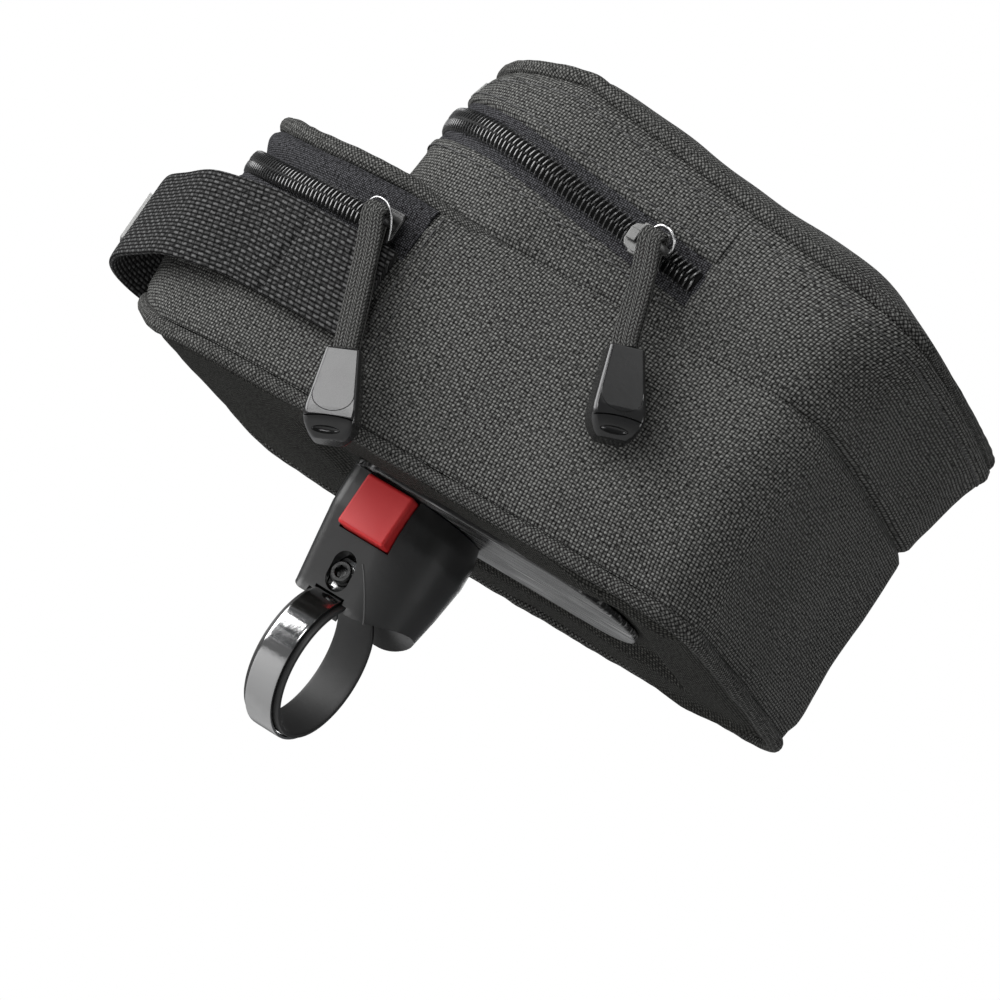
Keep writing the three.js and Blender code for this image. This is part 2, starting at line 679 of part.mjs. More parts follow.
function addPull(prefix, body, zipZ, place) {
  let step = 0;
  while (step < HALF_STEPS && midX(body, step) > place.x) {
    step += 0.05;
  }
  const at = skin(body, step, zipZ(place.x), COIL_HEIGHT - 0.25 + GAP);
  const back = skin(body, step + 0.4, zipZ(place.x), COIL_HEIGHT - 0.25 + GAP).sub(at).setZ(0).normalize();
  const up = new THREE.Vector3(0, 0, 1);
  const frame = new THREE.Group();
  frame.position.copy(at);
  frame.quaternion.setFromRotationMatrix(new THREE.Matrix4().makeBasis(back, up, back.clone().cross(up)));
  const curve = cordCurve(place);
  const apart = GAP + 0.1;
  const ring = new THREE.Shape().absarc(0, 0, CORD_RADIUS, 0, 2 * Math.PI, false);
  const cordSettings = { steps: 38, extrudePath: curve, curveSegments: 3, bevelEnabled: false };
  const slider = add(`${prefix}_zip_slider`, sliderGeometry(), 0x6f7275, 0.35, 0.9);
  const cord = add(`${prefix}_pull_cord`, new THREE.ExtrudeGeometry(ring, cordSettings), 0x1e1e20, 0.85);
  const toggle = add(`${prefix}_pull_toggle`, toggleGeometry(), 0x141415, 0.25);
  const [outX, outY] = [apart * Math.sin(place.turn), apart * Math.cos(place.turn)];
  toggle.position.set(place.lean + outX, -place.drop - outY, TOGGLE_REST);
  toggle.rotation.z = place.turn;
  frame.add(slider, cord, toggle);
  bag.add(frame);
}
// How each pull hangs: how far its toggle stands rearwards of and below the slider, and its turn
const FRONT_HANG = { x: FRONT_SLIDER_X, lean: 12, drop: 27.8, turn: THREE.MathUtils.degToRad(25) };
const MAIN_HANG = { x: MAIN_SLIDER_X, lean: 9.8, drop: 22, turn: THREE.MathUtils.degToRad(27) };
addPull("front", lower, frontZipZ, FRONT_HANG);
addPull("main", upper, mainZipZ, MAIN_HANG);

// Stiff plate under the base
const plateZ = BRACKET_TOP_Z + GAP;
function plateGeometry() {
  const shape = new THREE.Shape();
  const [x0, x1, c] = [PLATE_REAR_X, PLATE_FRONT_X, PLATE_CORNER];
  shape.absarc(x1 - c, PLATE_HALF - c, c, 0, Math.PI / 2, false);
  shape.absarc(x0 + c, PLATE_HALF - c, c, Math.PI / 2, Math.PI, false);
  shape.absarc(x0 + c, c - PLATE_HALF, c, Math.PI, 1.5 * Math.PI, false);
  shape.absarc(x1 - c, c - PLATE_HALF, c, 1.5 * Math.PI, 2 * Math.PI, false);
  const geometry = new THREE.ExtrudeGeometry(shape, { depth: PLATE_THICK, bevelEnabled: false, curveSegments: 10 });
  return geometry.translate(0, 0, plateZ);
}
add("base_plate", plateGeometry(), PLASTIC_BLACK, 0.3);

// Bracket: a block with a flat front and a round back, saddled on the stem
// Levels: height as a share of the bracket's, half width as a share between foot and top, rear set-in
const BRACKET_FOOT_Z = 4;
const BRACKET_ROWS = [
  { share: 0, widen: 0, front: -1.4, rear: 3 },
  { share: 0.25, widen: 0.05, front: -1.1, rear: 2 },
  { share: 0.5, widen: 0.5, front: -0.6, rear: 0.8 },
  { share: 0.75, widen: 0.92, front: -0.1, rear: 0 },
  { share: 0.9, widen: 1, front: 0, rear: 0.4 },
  { share: 1, widen: 1, front: 0, rear: 1.6 },
];
const BRACKET_CORNER = 3;
function bracketRing(row) {
  const half = mix(BRACKET_FOOT_HALF, BRACKET_TOP_HALF, row.widen);
  const front = BRACKET_FRONT_X + row.front;
  const rear = BRACKET_REAR_X + row.rear;
  const z = mix(BRACKET_FOOT_Z, BRACKET_TOP_Z, row.share);
  const c = BRACKET_CORNER;
  const arc = (cx, cy, rx, ry, a0, a1, count) =>
    stepsBetween(0, count).map((i) => {
      const a = mix(a0, a1, i / count) * Math.PI;
      return new THREE.Vector3(cx + rx * Math.cos(a), cy + ry * Math.sin(a), z);
    });
  return [
    ...arc(front - c, half - c, c, c, 0, 0.5, 4),
    ...arc(rear + half, 0, half, half, 0.5, 1.5, 16),
    ...arc(front - c, c - half, c, c, 1.5, 2, 4),
  ];
}
function bracketBlock() {
  const rings = BRACKET_ROWS.map(bracketRing);
  const count = rings[0].length;
  const faces = [];
  rings.slice(1).forEach((_, k) => {
    for (let i = 0; i < count; i += 1) {
      const [a, b] = [k * count + i, k * count + ((i + 1) % count)];
      faces.push([a, b, b + count], [a, b + count, a + count]);
    }
  });
  const last = (rings.length - 1) * count;
  for (let i = 1; i < count - 1; i += 1) {
    faces.push([0, i + 1, i], [last, last + i, last + i + 1]);
  }
  return geometryFrom(rings.flat(), faces);
}
const LINER_THICK = 1;
const BAND_THICK = 0.7;
const linerInner = STEM_RADIUS + 0.15;
const bandInner = linerInner + LINER_THICK + GAP;
const bandOuter = bandInner + BAND_THICK;
const EAR_Y = 8.9;
const EAR_TOP_Z = 22.2;
const SCREW_RADIUS = 1.5;
const SCREW_HEAD = 2.6;
const HOLE_WIDE = 3.4;
const HOLE_RISE = 1.6;
const buttonFaceY = BRACKET_TOP_HALF + BUTTON_PROUD;
const buttonHalf = BUTTON_SIZE / 2;
const TRAVEL_ROOM = 3.5;
const BUTTON_DEEP = 7.5;
const around = (x, half) => [x - half, x + half];
const far = 60;
const [linerX0, linerX1] = around(BAND_X, LINER_WIDTH / 2 + GAP);
const [bandX0, bandX1] = around(BAND_X, BAND_WIDTH / 2 + GAP);
const [pocketX0, pocketX1] = around(0, buttonHalf + GAP);
const holeLow = rodY(HOLE_WIDE, BAND_X, SCREW_Z - HOLE_RISE, EAR_Y - 1, far);
const holeHigh = rodY(HOLE_WIDE, BAND_X, SCREW_Z + HOLE_RISE, EAR_Y - 1, far);
const holeMiddle = box(...around(BAND_X, HOLE_WIDE), EAR_Y - 1, far, ...around(SCREW_Z, HOLE_RISE));
const bracketGeometry = cut(
  bracketBlock(),
  rodX(STEM_RADIUS + GAP, -far, far, 64),
  rodX(linerInner + LINER_THICK + GAP, linerX0, linerX1, 64),
  rodX(bandOuter + GAP, bandX0, bandX1, 64),
  box(bandX0, bandX1, -EAR_Y - 0.7, EAR_Y + 0.7, BRACKET_FOOT_Z, EAR_TOP_Z + GAP),
  holeLow,
  holeHigh,
  holeMiddle,
  rodY(SCREW_RADIUS + GAP, BAND_X, SCREW_Z, -EAR_Y - 2.2, 0),
  box(pocketX0, pocketX1, buttonFaceY - BUTTON_DEEP - TRAVEL_ROOM, far, BUTTON_Z - buttonHalf - GAP, far),
);
add("bracket", bracketGeometry, PLASTIC_BLACK, 0.55);

// Square release button with eased edges, let into the bracket's left side
function buttonGeometry() {
  const half = buttonHalf;
  const ease = 0.8;
  const outline = [
    [half - ease, -half],
    [half, ease - half],
    [half, half - ease],
    [half - ease, half],
    [ease - half, half],
    [-half, half - ease],
    [-half, ease - half],
    [ease - half, -half],
  ];
  return slab(outline, BUTTON_DEEP).rotateX(Math.PI / 2).translate(0, buttonFaceY, BUTTON_Z);
}
add("release_button", buttonGeometry(), 0xb4222b, 0.4);

// Steel band round the stem with its two ears, the rubber under it and the screw that draws the ears together
const toStem = new THREE.Matrix4().makeBasis(
  new THREE.Vector3(0, 1, 0),
  new THREE.Vector3(0, 0, 1),
  new THREE.Vector3(1, 0, 0),
);
const arcPoints = (radius, a0, a1, count) =>
  stepsBetween(0, count).map((i) => {
    const a = mix(a0, a1, i / count);
    return [radius * Math.sin(a), radius * Math.cos(a)];
  });
const earIn = EAR_Y - BAND_THICK / 2;
const earOut = EAR_Y + BAND_THICK / 2;
const outerStart = Math.asin(earOut / bandOuter);
const innerStart = Math.asin(earIn / bandInner);
const bandOutline = [
  [earIn, EAR_TOP_Z],
  [earOut, EAR_TOP_Z],
  ...arcPoints(bandOuter, outerStart, 2 * Math.PI - outerStart, 48),
  [-earOut, EAR_TOP_Z],
  [-earIn, EAR_TOP_Z],
  ...arcPoints(bandInner, 2 * Math.PI - innerStart, innerStart, 48),
];
const bandStrip = slab(bandOutline, BAND_WIDTH).applyMatrix4(toStem).translate(BAND_X - BAND_WIDTH / 2, 0, 0);
add("clamp_band", cut(bandStrip, rodY(SCREW_RADIUS + GAP, BAND_X, SCREW_Z, -far, far)), STEEL, 0.25, 1);

const linerShape = new THREE.Shape().absarc(0, 0, linerInner + LINER_THICK, 0, 2 * Math.PI, false);
linerShape.holes.push(new THREE.Path().absarc(0, 0, linerInner, 0, 2 * Math.PI, true));
const linerSettings = { depth: LINER_WIDTH, bevelEnabled: false, curveSegments: 24 };
const linerGeometry = new THREE.ExtrudeGeometry(linerShape, linerSettings).applyMatrix4(toStem);
add("band_liner", linerGeometry.translate(BAND_X - LINER_WIDTH / 2, 0, 0), 0x121212, 0.9);

const headY = earOut + GAP;
const screwProfile = [
  [0, -EAR_Y - 1.6],
  [SCREW_RADIUS, -EAR_Y - 1.6],
  [SCREW_RADIUS, headY],
  [SCREW_HEAD, headY],
  [SCREW_HEAD, headY + 2.4],
  [1.3, headY + 2.4],
  [1.3, headY + 0.9],
  [0, headY + 0.9],
];
const screwLathe = new THREE.LatheGeometry(screwProfile.map(([r, y]) => new THREE.Vector2(r, y)), 20);
add("band_screw", screwLathe.translate(BAND_X, 0, SCREW_Z), 0x8f9294, 0.3, 1);

export default bag;
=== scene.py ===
# %% [markdown]
# This lesson dresses a small soft handlebar bag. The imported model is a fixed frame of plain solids.
# Each solid of cloth, tape, cord, metal or plastic gets a finer piece in its place, in metres and in the same frame.

# %% Load the frame
import math

import bmesh
import bpy
import numpy as np
from mathutils import Matrix, Vector, noise


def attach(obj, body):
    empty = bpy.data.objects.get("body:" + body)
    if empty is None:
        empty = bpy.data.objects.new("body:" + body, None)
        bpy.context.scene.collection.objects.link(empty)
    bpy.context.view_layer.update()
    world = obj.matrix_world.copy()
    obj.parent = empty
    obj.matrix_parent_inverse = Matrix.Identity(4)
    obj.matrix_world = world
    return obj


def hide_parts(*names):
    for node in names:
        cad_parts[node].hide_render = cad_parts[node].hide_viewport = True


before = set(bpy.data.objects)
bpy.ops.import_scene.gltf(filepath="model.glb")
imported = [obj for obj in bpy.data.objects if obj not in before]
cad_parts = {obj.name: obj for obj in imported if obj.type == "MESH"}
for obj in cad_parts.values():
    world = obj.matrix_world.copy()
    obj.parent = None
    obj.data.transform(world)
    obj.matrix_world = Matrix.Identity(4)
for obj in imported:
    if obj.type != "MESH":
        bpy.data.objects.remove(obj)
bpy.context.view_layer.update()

MM = 0.001
print("frame:", len(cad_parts), "nodes")

# %% [markdown]
# The view is from the bag's left, a little from behind and from below, with the camera rolled to one side.
# A long lens keeps the bag's edges nearly parallel. Yaw, tilt and roll are set one after the other,
# and the camera then slides along its own right and up directions until the bag sits in the frame as it should.
# It could be aimed by hand in the viewport, but named angles can be changed one at a time and give the same view.

# %% Camera
YAW = math.radians(25)
TILT = math.radians(-7.8)
ROLL = math.radians(33.95)
DISTANCE = 1.0
SLIDE_RIGHT = 0.03966
SLIDE_UP = 0.03497
LENS = 168.84



def turned_to(x, y, z):
    """A turn whose own directions become the three given ones."""
    return Matrix((x, y, z)).transposed().to_4x4()


toward = Vector((-math.sin(YAW) * math.cos(TILT), math.cos(YAW) * math.cos(TILT), math.sin(TILT)))
level_right = Vector((0, 0, 1)).cross(toward).normalized()
level_up = toward.cross(level_right)
right = level_right * math.cos(ROLL) + level_up * math.sin(ROLL)
up = level_up * math.cos(ROLL) - level_right * math.sin(ROLL)
bpy.ops.object.select_all(action="DESELECT")
bpy.ops.object.camera_add()
camera = bpy.context.object
camera.name = "camera"
place = toward * DISTANCE + right * SLIDE_RIGHT + up * SLIDE_UP
camera.matrix_world = Matrix.Translation(place) @ turned_to(right, up, toward)
camera.data.lens = LENS
camera.data.sensor_width = 36
camera.data.clip_start = 0.05
camera.data.clip_end = 50
bpy.context.scene.camera = camera
print("camera at", [round(v, 3) for v in camera.matrix_world.translation])

# %% [markdown]
# The studio is a pale floor well below the bag, a bright even surround and soft square lights. The key stands in
# front on the left, weaker ones above, below and behind fill the shadows, a small card puts a sheen on the front
# toggle, and one lights the far side. The surround looks white but lights the bag only a little, so that black cloth
# keeps its depth.
# A picture of a studio could light the scene as well, but lamps need no file and are easier to place.

# %% Floor, surround and lights
FLOOR_Z = -0.45
bpy.ops.mesh.primitive_plane_add(size=14, location=(0, 0, FLOOR_Z))
floor = bpy.context.object
floor.name = "studio_floor"

world = bpy.data.worlds.new("studio")
bpy.context.scene.world = world
world.use_nodes = True
sky = world.node_tree
paths = sky.nodes.new("ShaderNodeLightPath")
shown = sky.nodes.new("ShaderNodeBackground")
shown.inputs["Color"].default_value = (1, 1, 1, 1)
shown.inputs["Strength"].default_value = 1.0
choose = sky.nodes.new("ShaderNodeMixShader")
soft = sky.nodes["Background"]
soft.inputs["Color"].default_value = (0.93, 0.96, 1, 1)
soft.inputs["Strength"].default_value = 0.13
sky.links.new(paths.outputs["Is Camera Ray"], choose.inputs[0])
sky.links.new(soft.outputs[0], choose.inputs[1])
sky.links.new(shown.outputs[0], choose.inputs[2])
sky.links.new(choose.outputs[0], sky.nodes["World Output"].inputs["Surface"])

BAG_MIDDLE = Vector((0, 0, 0.07))


def panel_light(name, direction, distance, size, watts):
    """A soft square light at a direction and distance from the bag's middle."""
    bpy.ops.object.light_add(type="AREA", location=BAG_MIDDLE + Vector(direction).normalized() * distance)
    light = bpy.context.object
    light.name = name
    light.rotation_euler = (BAG_MIDDLE - light.location).to_track_quat("-Z", "Y").to_euler()
    light.data.shape = "RECTANGLE"
    light.data.size, light.data.size_y = size
    light.data.energy = watts
    return light


panel_light("key", (0.82, 0.57, 0.2), 1.2, (1.12, 0.9), 24)
panel_light("top", (-0.15, 0.6, 1.2), 1.3, (1.0, 1.0), 3.4)
panel_light("low", (-0.2, 0.8, -0.8), 1.3, (0.9, 0.5), 2)
panel_light("card", (0.1, 0.95, 0.3), 1.1, (0.4, 0.34), 3.6)
panel_light("rear", (-1.0, 0.1, 0.3), 1.4, (0.5, 0.9), 5.2)
panel_light("far_side", (0.3, -1.0, 0.4), 1.4, (0.9, 0.9), 8)
bpy.context.scene.view_settings.view_transform = "Standard"

# %% [markdown]
# A weave is arithmetic: two sine waves multiplied give the raised crossings of the threads. A small class wraps a
# node's output so that such sums can be written as Python expressions, each operator adding its Math node.
# The nodes could be placed by hand in the shader editor. Written as a formula, a pattern is easier to read and tune.

# %% Expressions for finishes


class Wire:
    """One output of a node tree. Operators add Math nodes."""

    def __init__(self, finish, socket):
        self.finish = finish
        self.socket = socket

    def math(self, operation, *others, swapped=False):
        values = [*others, self] if swapped else [self, *others]
        return self.finish.node("ShaderNodeMath", {"operation": operation}, dict(enumerate(values)))

    def __add__(self, other):
        return self.math("ADD", other)

    def __radd__(self, other):
        return self.math("ADD", other, swapped=True)

    def __sub__(self, other):
        return self.math("SUBTRACT", other)

    def __rsub__(self, other):
        return self.math("SUBTRACT", other, swapped=True)

    def __mul__(self, other):
        return self.math("MULTIPLY", other)

    def __rmul__(self, other):
        return self.math("MULTIPLY", other, swapped=True)

    def __truediv__(self, other):
        return self.math("DIVIDE", other)

    def __pow__(self, other):
        return self.math("POWER", other)

    def sine(self):
        return self.math("SINE")

    def size(self):
        return self.math("ABSOLUTE")

    def clamped(self, low=0.0, high=1.0):
        return self.math("MAXIMUM", low).math("MINIMUM", high)


class Finish:
    """A material whose surface is written as expressions."""

    def __init__(self, name):
        self.material = bpy.data.materials.new(name)
        self.material.use_nodes = True
        self.tree = self.material.node_tree
        self.surface = self.tree.nodes["Principled BSDF"]

    def feed(self, socket, value):
        if isinstance(value, Wire):
            self.tree.links.new(value.socket, socket)
        else:
            socket.default_value = value

    def node(self, kind, settings=None, sockets=None, output=0):
        made = self.tree.nodes.new(kind)
        for key, value in (settings or {}).items():
            if key == "stops":
                for element, (place, shade) in zip(made.color_ramp.elements, value):
                    element.position = place
                    element.color = (shade, shade, shade, 1)
            else:
                setattr(made, key, value)
        for key, value in (sockets or {}).items():
            self.feed(made.inputs[key], value)
        return Wire(self, made.outputs[output])

    def cloth_place(self):
        return self.node("ShaderNodeUVMap", {"uv_map": "cloth"})

    def object_place(self):
        return self.node("ShaderNodeTexCoord", output="Object")

    def parts(self, vector):
        pull = self.tree.nodes.new("ShaderNodeSeparateXYZ")
        self.feed(pull.inputs[0], vector)
        return [Wire(self, pull.outputs[k]) for k in range(3)]

    def cloud(self, place, scale, detail=2.0):
        return self.node("ShaderNodeTexNoise", {}, {"Vector": place, "Scale": scale, "Detail": detail})

    def blend(self, share, first, second):
        colours = {0: share, 6: first, 7: second}
        return self.node("ShaderNodeMix", {"data_type": "RGBA"}, colours, output=2)

    def raised(self, height, distance):
        bump = {"Height": height, "Distance": distance, "Strength": 1.0}
        self.feed(self.surface.inputs["Normal"], self.node("ShaderNodeBump", {}, bump))

    def set(self, **constants):
        for key, value in constants.items():
            self.feed(self.surface.inputs[key.replace("_", " ")], value)
        return self.material


def grey(level, blue=1.0):
    """A near-neutral colour."""
    return (level, level, level * blue, 1)


print("expressions ready")

# %% [markdown]
# The body is coated nylon: thick threads cross one over, one under, so raised dots stand in staggered rows with dark
# pits between them, and their near-black colour is painted shade. The crossings where the other thread lies on top
# get a painted share of less light. The cloth's own map is in units of 100 mm, so that a thread keeps its size on
# every panel.
# Slow clouds vary the light and the thread's path a little, as on any sewn bag.
# Modelled thread by thread it would take millions of faces, so the shader draws the threads and raises them by bump.

# %% Woven finishes
MAP_UNIT = 100.0


def weave_finish(
    name, pitch, thread, pit_shade, turned=0.0, wander=0.5, depth=0.00018, under=0.55, slant=0.0, shape=(0.9, 0.9)
):
    """Cloth with a dot every pitch (along, across) mm, turned in its plane by an angle. under is the share of
    light on the crossings where the other thread is on top, slant how far the dots lean along their
    row, shape how sharp the dots are along and across."""
    finish = Finish(name)
    place = finish.cloth_place()
    sway = finish.cloud(place, 7.0)
    u, v, _ = finish.parts(place)
    cos, sin = math.cos(turned), math.sin(turned)
    along = (u * cos + v * (sin + slant)) * (2 * math.pi * MAP_UNIT / pitch[0]) + sway * (2 * math.pi * wander)
    across = (v * cos - u * sin) * (2 * math.pi * MAP_UNIT / pitch[1]) + sway * (2 * math.pi * wander)
    crossing = along.sine() * across.sine()
    lump = along.sine().size() ** shape[0] * across.sine().size() ** shape[1]
    upper = (crossing * 3.0).clamped(-1.0, 1.0)
    top = (1 + under) / 2 + upper * ((1 - under) / 2)
    fibre = finish.cloud(place, 140.0, 2.0)
    patch = finish.cloud(finish.object_place(), 38.0, 3.0)
    # The pits take the pit colour, near black: painted shade between the raised threads. lump is the weave's own
    # pattern, top a painted share of light per crossing, fibre and patch tone that differs at random.
    bright = lump * top * (fibre * 4.6 - 1.2).clamped(0.1, 2.4) * (0.7 + patch * 0.6)
    finish.feed(finish.surface.inputs["Base Color"], finish.blend(bright.clamped(), pit_shade, thread))
    finish.feed(finish.surface.inputs["Roughness"], (0.86 - bright * 0.2).clamped())
    finish.raised(lump * top + fibre * 0.15, depth)
    return finish.set(Specular_IOR_Level=0.04)


CLOTH_BODY = weave_finish("woven_nylon", (1.64, 1.37), grey(0.18, 0.96), grey(0.002))
# The base is the body's nylon with darker threads: painted shade on the underside.
CLOTH_BASE_SHADED = weave_finish("woven_nylon_base_shaded", (1.64, 1.37), grey(0.075, 0.92), grey(0.003))
CLOTH_BIAS = weave_finish("bias_binding", (1.55, 1.3), grey(0.15, 0.96), grey(0.003), turned=0.72)
TAPE_CLOTH = weave_finish("zip_tape_twill", (1.1, 0.9), grey(0.085, 1.08), grey(0.002, 1.1), depth=0.0001, under=0.6)
WEBBING = weave_finish(
    "webbing_weave", (3.5, 1.92), grey(0.105), grey(0.001), wander=0.12, depth=0.0003, under=0.4, slant=0.4,
    shape=(0.5, 1.5),
)
print("woven finishes:", CLOTH_BODY.name, CLOTH_BIAS.name, TAPE_CLOTH.name, WEBBING.name)

# %% [markdown]
# A pull's cord is a flat braid: narrow ribs run along it, and in each rib the strands lie as small slanted strokes
# which change their slant from rib to rib. A cosine across the cord bends the strokes into that zigzag. The
# near-black colour between strokes and ribs is painted shade.
# Real strands could be wound as curves, but at this size the shader's zigzag looks the same and costs nothing.

# %% Braided cord


def braid_finish(name, stroke, rib, thread, pit_shade):
    """A braid with a stroke every stroke mm along and a rib every rib mm across."""
    finish = Finish(name)
    place = finish.cloth_place()
    u, v, _ = finish.parts(place)
    wound = v * (math.pi * MAP_UNIT / rib)
    along = u * (math.pi * MAP_UNIT / stroke) + (wound + math.pi / 2).sine() * 1.2
    strokes = along.sine().size() ** 0.7
    ribs = wound.sine().size() ** 0.7
    fibre = finish.cloud(place, 220.0, 2.0)
    lump = strokes * ribs
    # Between strokes and ribs the cord takes the pit colour, near black: painted shade in the braid's grooves.
    bright = lump * (fibre * 2.2 - 0.2).clamped(0.2, 2.0)
    finish.feed(finish.surface.inputs["Base Color"], finish.blend(bright.clamped(), pit_shade, thread))
    finish.raised(lump, 0.0003)
    return finish.set(Roughness=0.75, Specular_IOR_Level=0.08)


CORD = braid_finish("braided_cord", 0.88, 0.72, grey(0.13, 0.96), grey(0.0015))
print("braid:", CORD.name)

# %% [markdown]
# Moulded and metal parts are smooth, so their finish is in small things: a faint orange-peel from the mould,
# fine scratches that change the gloss, and random patches rubbed a little lighter. On the plate under the bag the
# lighter colour follows the scratches in pale streaks, which are painted reflection.
# Each could be a material of its own. One function with a few values keeps them alike and short.

# %% Plastic, metal and rubber


def moulded_finish(name, colour, wear_and_sheen, rough, grain=900.0, depth=0.00002, scratches=0.0, reflection_streaks=0.0, **constants):
    """Moulded plastic with a fine grain, cloudy gloss and optional scratches."""
    finish = Finish(name)
    place = finish.object_place()
    skin_grain = finish.cloud(place, grain, 2.0)
    handling = finish.cloud(place, 60.0, 4.0)
    stretched = finish.node(
        "ShaderNodeMapping",
        {},
        {"Vector": place, "Rotation": (0.0, 0.0, 0.3), "Scale": (60.0, 1400.0, 900.0)},
    )
    scratch = finish.cloud(stretched, 1.0, 2.0)
    # Lighter in random rubbed patches, and along the scratches by the streaks share: on the plate these pale streaks
    # are painted reflection.
    rubbed_and_sheen = ((handling * (1 - reflection_streaks) + scratch * reflection_streaks - 0.52) * 5.0).clamped()
    finish.feed(finish.surface.inputs["Base Color"], finish.blend(rubbed_and_sheen, colour, wear_and_sheen))
    gloss = rough + (handling - 0.5) * 0.18 + (scratch - 0.5) * scratches
    finish.feed(finish.surface.inputs["Roughness"], gloss.clamped(0.04, 1.0))
    finish.raised(skin_grain + scratch * scratches, depth)
    return finish.set(**constants)


BRACKET_BLACK = moulded_finish("bracket_plastic", grey(0.015), grey(0.024), 0.38, depth=0.00003)
# A paler grey than the bracket: painted highlight along the rib's edge.
RIB_HIGHLIGHT_GREY = moulded_finish("bracket_rib_highlight", grey(0.06), grey(0.12), 0.3)
BUTTON_RED = moulded_finish(
    "button_red", (0.56, 0.024, 0.026, 1), (0.64, 0.045, 0.045, 1), 0.42, Specular_IOR_Level=0.3
)
TOGGLE_BLACK = moulded_finish("toggle_gloss", grey(0.012), grey(0.018), 0.16, depth=0.000008)
# Pale streaks over fine scratches: painted reflection on the glossy black plate.
PLATE_WITH_PAINTED_SHEEN = moulded_finish(
    "base_plate_painted_sheen", grey(0.03), grey(0.6), 0.3, scratches=0.6, depth=0.00001, reflection_streaks=0.7
)
PATCH_GREY = moulded_finish("pale_patch", grey(0.5, 0.98), grey(0.56, 0.98), 0.5)
COIL_BLACK = moulded_finish("zip_coil", grey(0.012), grey(0.02), 0.24, depth=0.00001, Specular_IOR_Level=1.0)
# Near black and dull: partly the coil's inner cord, partly painted shade in the gaps between the coil's turns.
CORE_AND_GAP_SHADE = moulded_finish("coil_core", grey(0.003), grey(0.005), 0.8, depth=0.00004, Specular_IOR_Level=0.1)
RUBBER = moulded_finish("liner_rubber", grey(0.012), grey(0.02), 0.55, depth=0.00003)
THREAD = moulded_finish("sewing_thread", grey(0.03), grey(0.05), 0.6, grain=2500.0, depth=0.00005)
SLIDER_METAL = moulded_finish(
    "slider_metal", grey(0.11, 0.98), grey(0.24, 0.98), 0.42, scratches=0.3, Metallic=0.6
)
SLIDER_PAINT = moulded_finish("slider_paint", grey(0.008), grey(0.02), 0.3, scratches=0.2)
RING_METAL = moulded_finish("ring_metal", grey(0.7), grey(0.8), 0.25, scratches=0.1, Metallic=1.0)
BAND_STEEL = moulded_finish("band_steel", grey(0.36), grey(0.46), 0.12, scratches=0.22, Metallic=1.0)
# Near-black steel: painted shade of the slot that the screw sits in.
SCREW_STEEL_SHADED = moulded_finish("screw_steel", grey(0.035), grey(0.08), 0.28, scratches=0.2, Metallic=1.0)
FLOOR_PALE = moulded_finish(
    "floor_pale", grey(0.5), grey(0.51), 0.8, grain=20.0, Emission_Color=grey(1.0), Emission_Strength=0.17
)
floor.data.materials.append(FLOOR_PALE)
print("hard finishes ready")

# %% [markdown]
# The bag's plan is one rounded outline: a blunt nose, straight sides, two rear corners and a slightly bowed rear.
# A step counts along it, 0 at the nose's tip. A short table says how far nose, sides and rear stand in or out
# at shares of the height. These are the same sizes that the solids have, so each piece lands on its solid.
# The outline could be drawn as a curve by eye, but then no seam would meet its neighbour exactly.

# %% Plan and section tables
CLOTH = 1.5
GAP = 0.35
BASE_Z, LID_Z = 42.6, 90.0
TALL_Z = LID_Z + 0.4
NOSE_X, REAR_X, HALF_WIDTH = 80.0, -86.0, 47.0
FRONT_ZIP_Z, MAIN_ZIP_Z, SEAM_Z = LID_Z - 9, LID_Z + 20, LID_Z + 39
NOSE_STEPS, SIDE_STEPS, CORNER_STEPS, REAR_STEPS = 14, 4, 5, 3
SEAM_STEP = NOSE_STEPS + SIDE_STEPS
HALF_STEPS = SEAM_STEP + SIDE_STEPS + CORNER_STEPS + REAR_STEPS
CORNER_RADIUS = 13.0
NOSE_POWER = 2.3
SHARES = ("share", "nose", "half", "rear")
LOWER_ROWS = [
    (0, -1, -0.4, 0),
    (0.25, -0.8, 0.8, -1.4),
    (0.55, -1.4, 1.3, -1.8),
    (0.85, -6.4, 1, -0.8),
    (1, -5.6, 0, -0.6),
]
UPPER_ROWS = [
    (0, 0, 0, -0.6),
    (0.3, -1.5, 1, 0.8),
    (0.6, -3.2, 0.6, 2.6),
    (0.85, -4.2, -1, 5.2),
    (1, -5.4, -2.4, 7),
]


def mix(a, b, t):
    return a + (b - a) * t


def clamp(v, a=0.0, b=1.0):
    return min(b, max(a, v))


def smooth(a, b, v):
    """0 below a, 1 above b, eased between them."""
    t = clamp((v - a) / (b - a))
    return t * t * (3 - 2 * t)


def prow(x, start=45.0):
    return clamp((x - start) / (NOSE_X - start)) ** 2


def column(rows, name, share):
    """A column of a table at any share, eased between its rows."""
    c = SHARES.index(name)
    s = clamp(share)
    k = 0
    while k < len(rows) - 2 and s > rows[k + 1][0]:
        k += 1
    t = (s - rows[k][0]) / (rows[k + 1][0] - rows[k][0])
    p0, p1, p2, p3 = (rows[min(len(rows) - 1, max(0, j))][c] for j in (k - 1, k, k + 1, k + 2))
    bend = (2 * p0 - 5 * p1 + 4 * p2 - p3) * t * t + (3 * p1 - p0 - 3 * p2 + p3) * t**3
    return (2 * p1 + (p2 - p0) * t + bend) / 2


def base_height(x):
    return BASE_Z + 9 * prow(x, 54.0)


def lid_height(x):
    return LID_Z + 4.5 * prow(x)


def top_height(x):
    return SEAM_Z + (x - 2) * (-0.1 if x > 2 else 0.158)


def front_zip_height(x):
    return FRONT_ZIP_Z + 4.5 * prow(x)


def main_zip_height(x):
    return MAIN_ZIP_Z + (x - 9) * (0.1 if x > 9 else 0.14)


LOWER = {"rows": LOWER_ROWS, "nose": NOSE_X, "wide": 12.0, "seam": -32.0, "low": base_height, "high": lid_height}
UPPER = {"rows": UPPER_ROWS, "nose": 41.5, "wide": -10.0, "seam": -47.0, "low": lambda x: TALL_Z, "high": top_height}


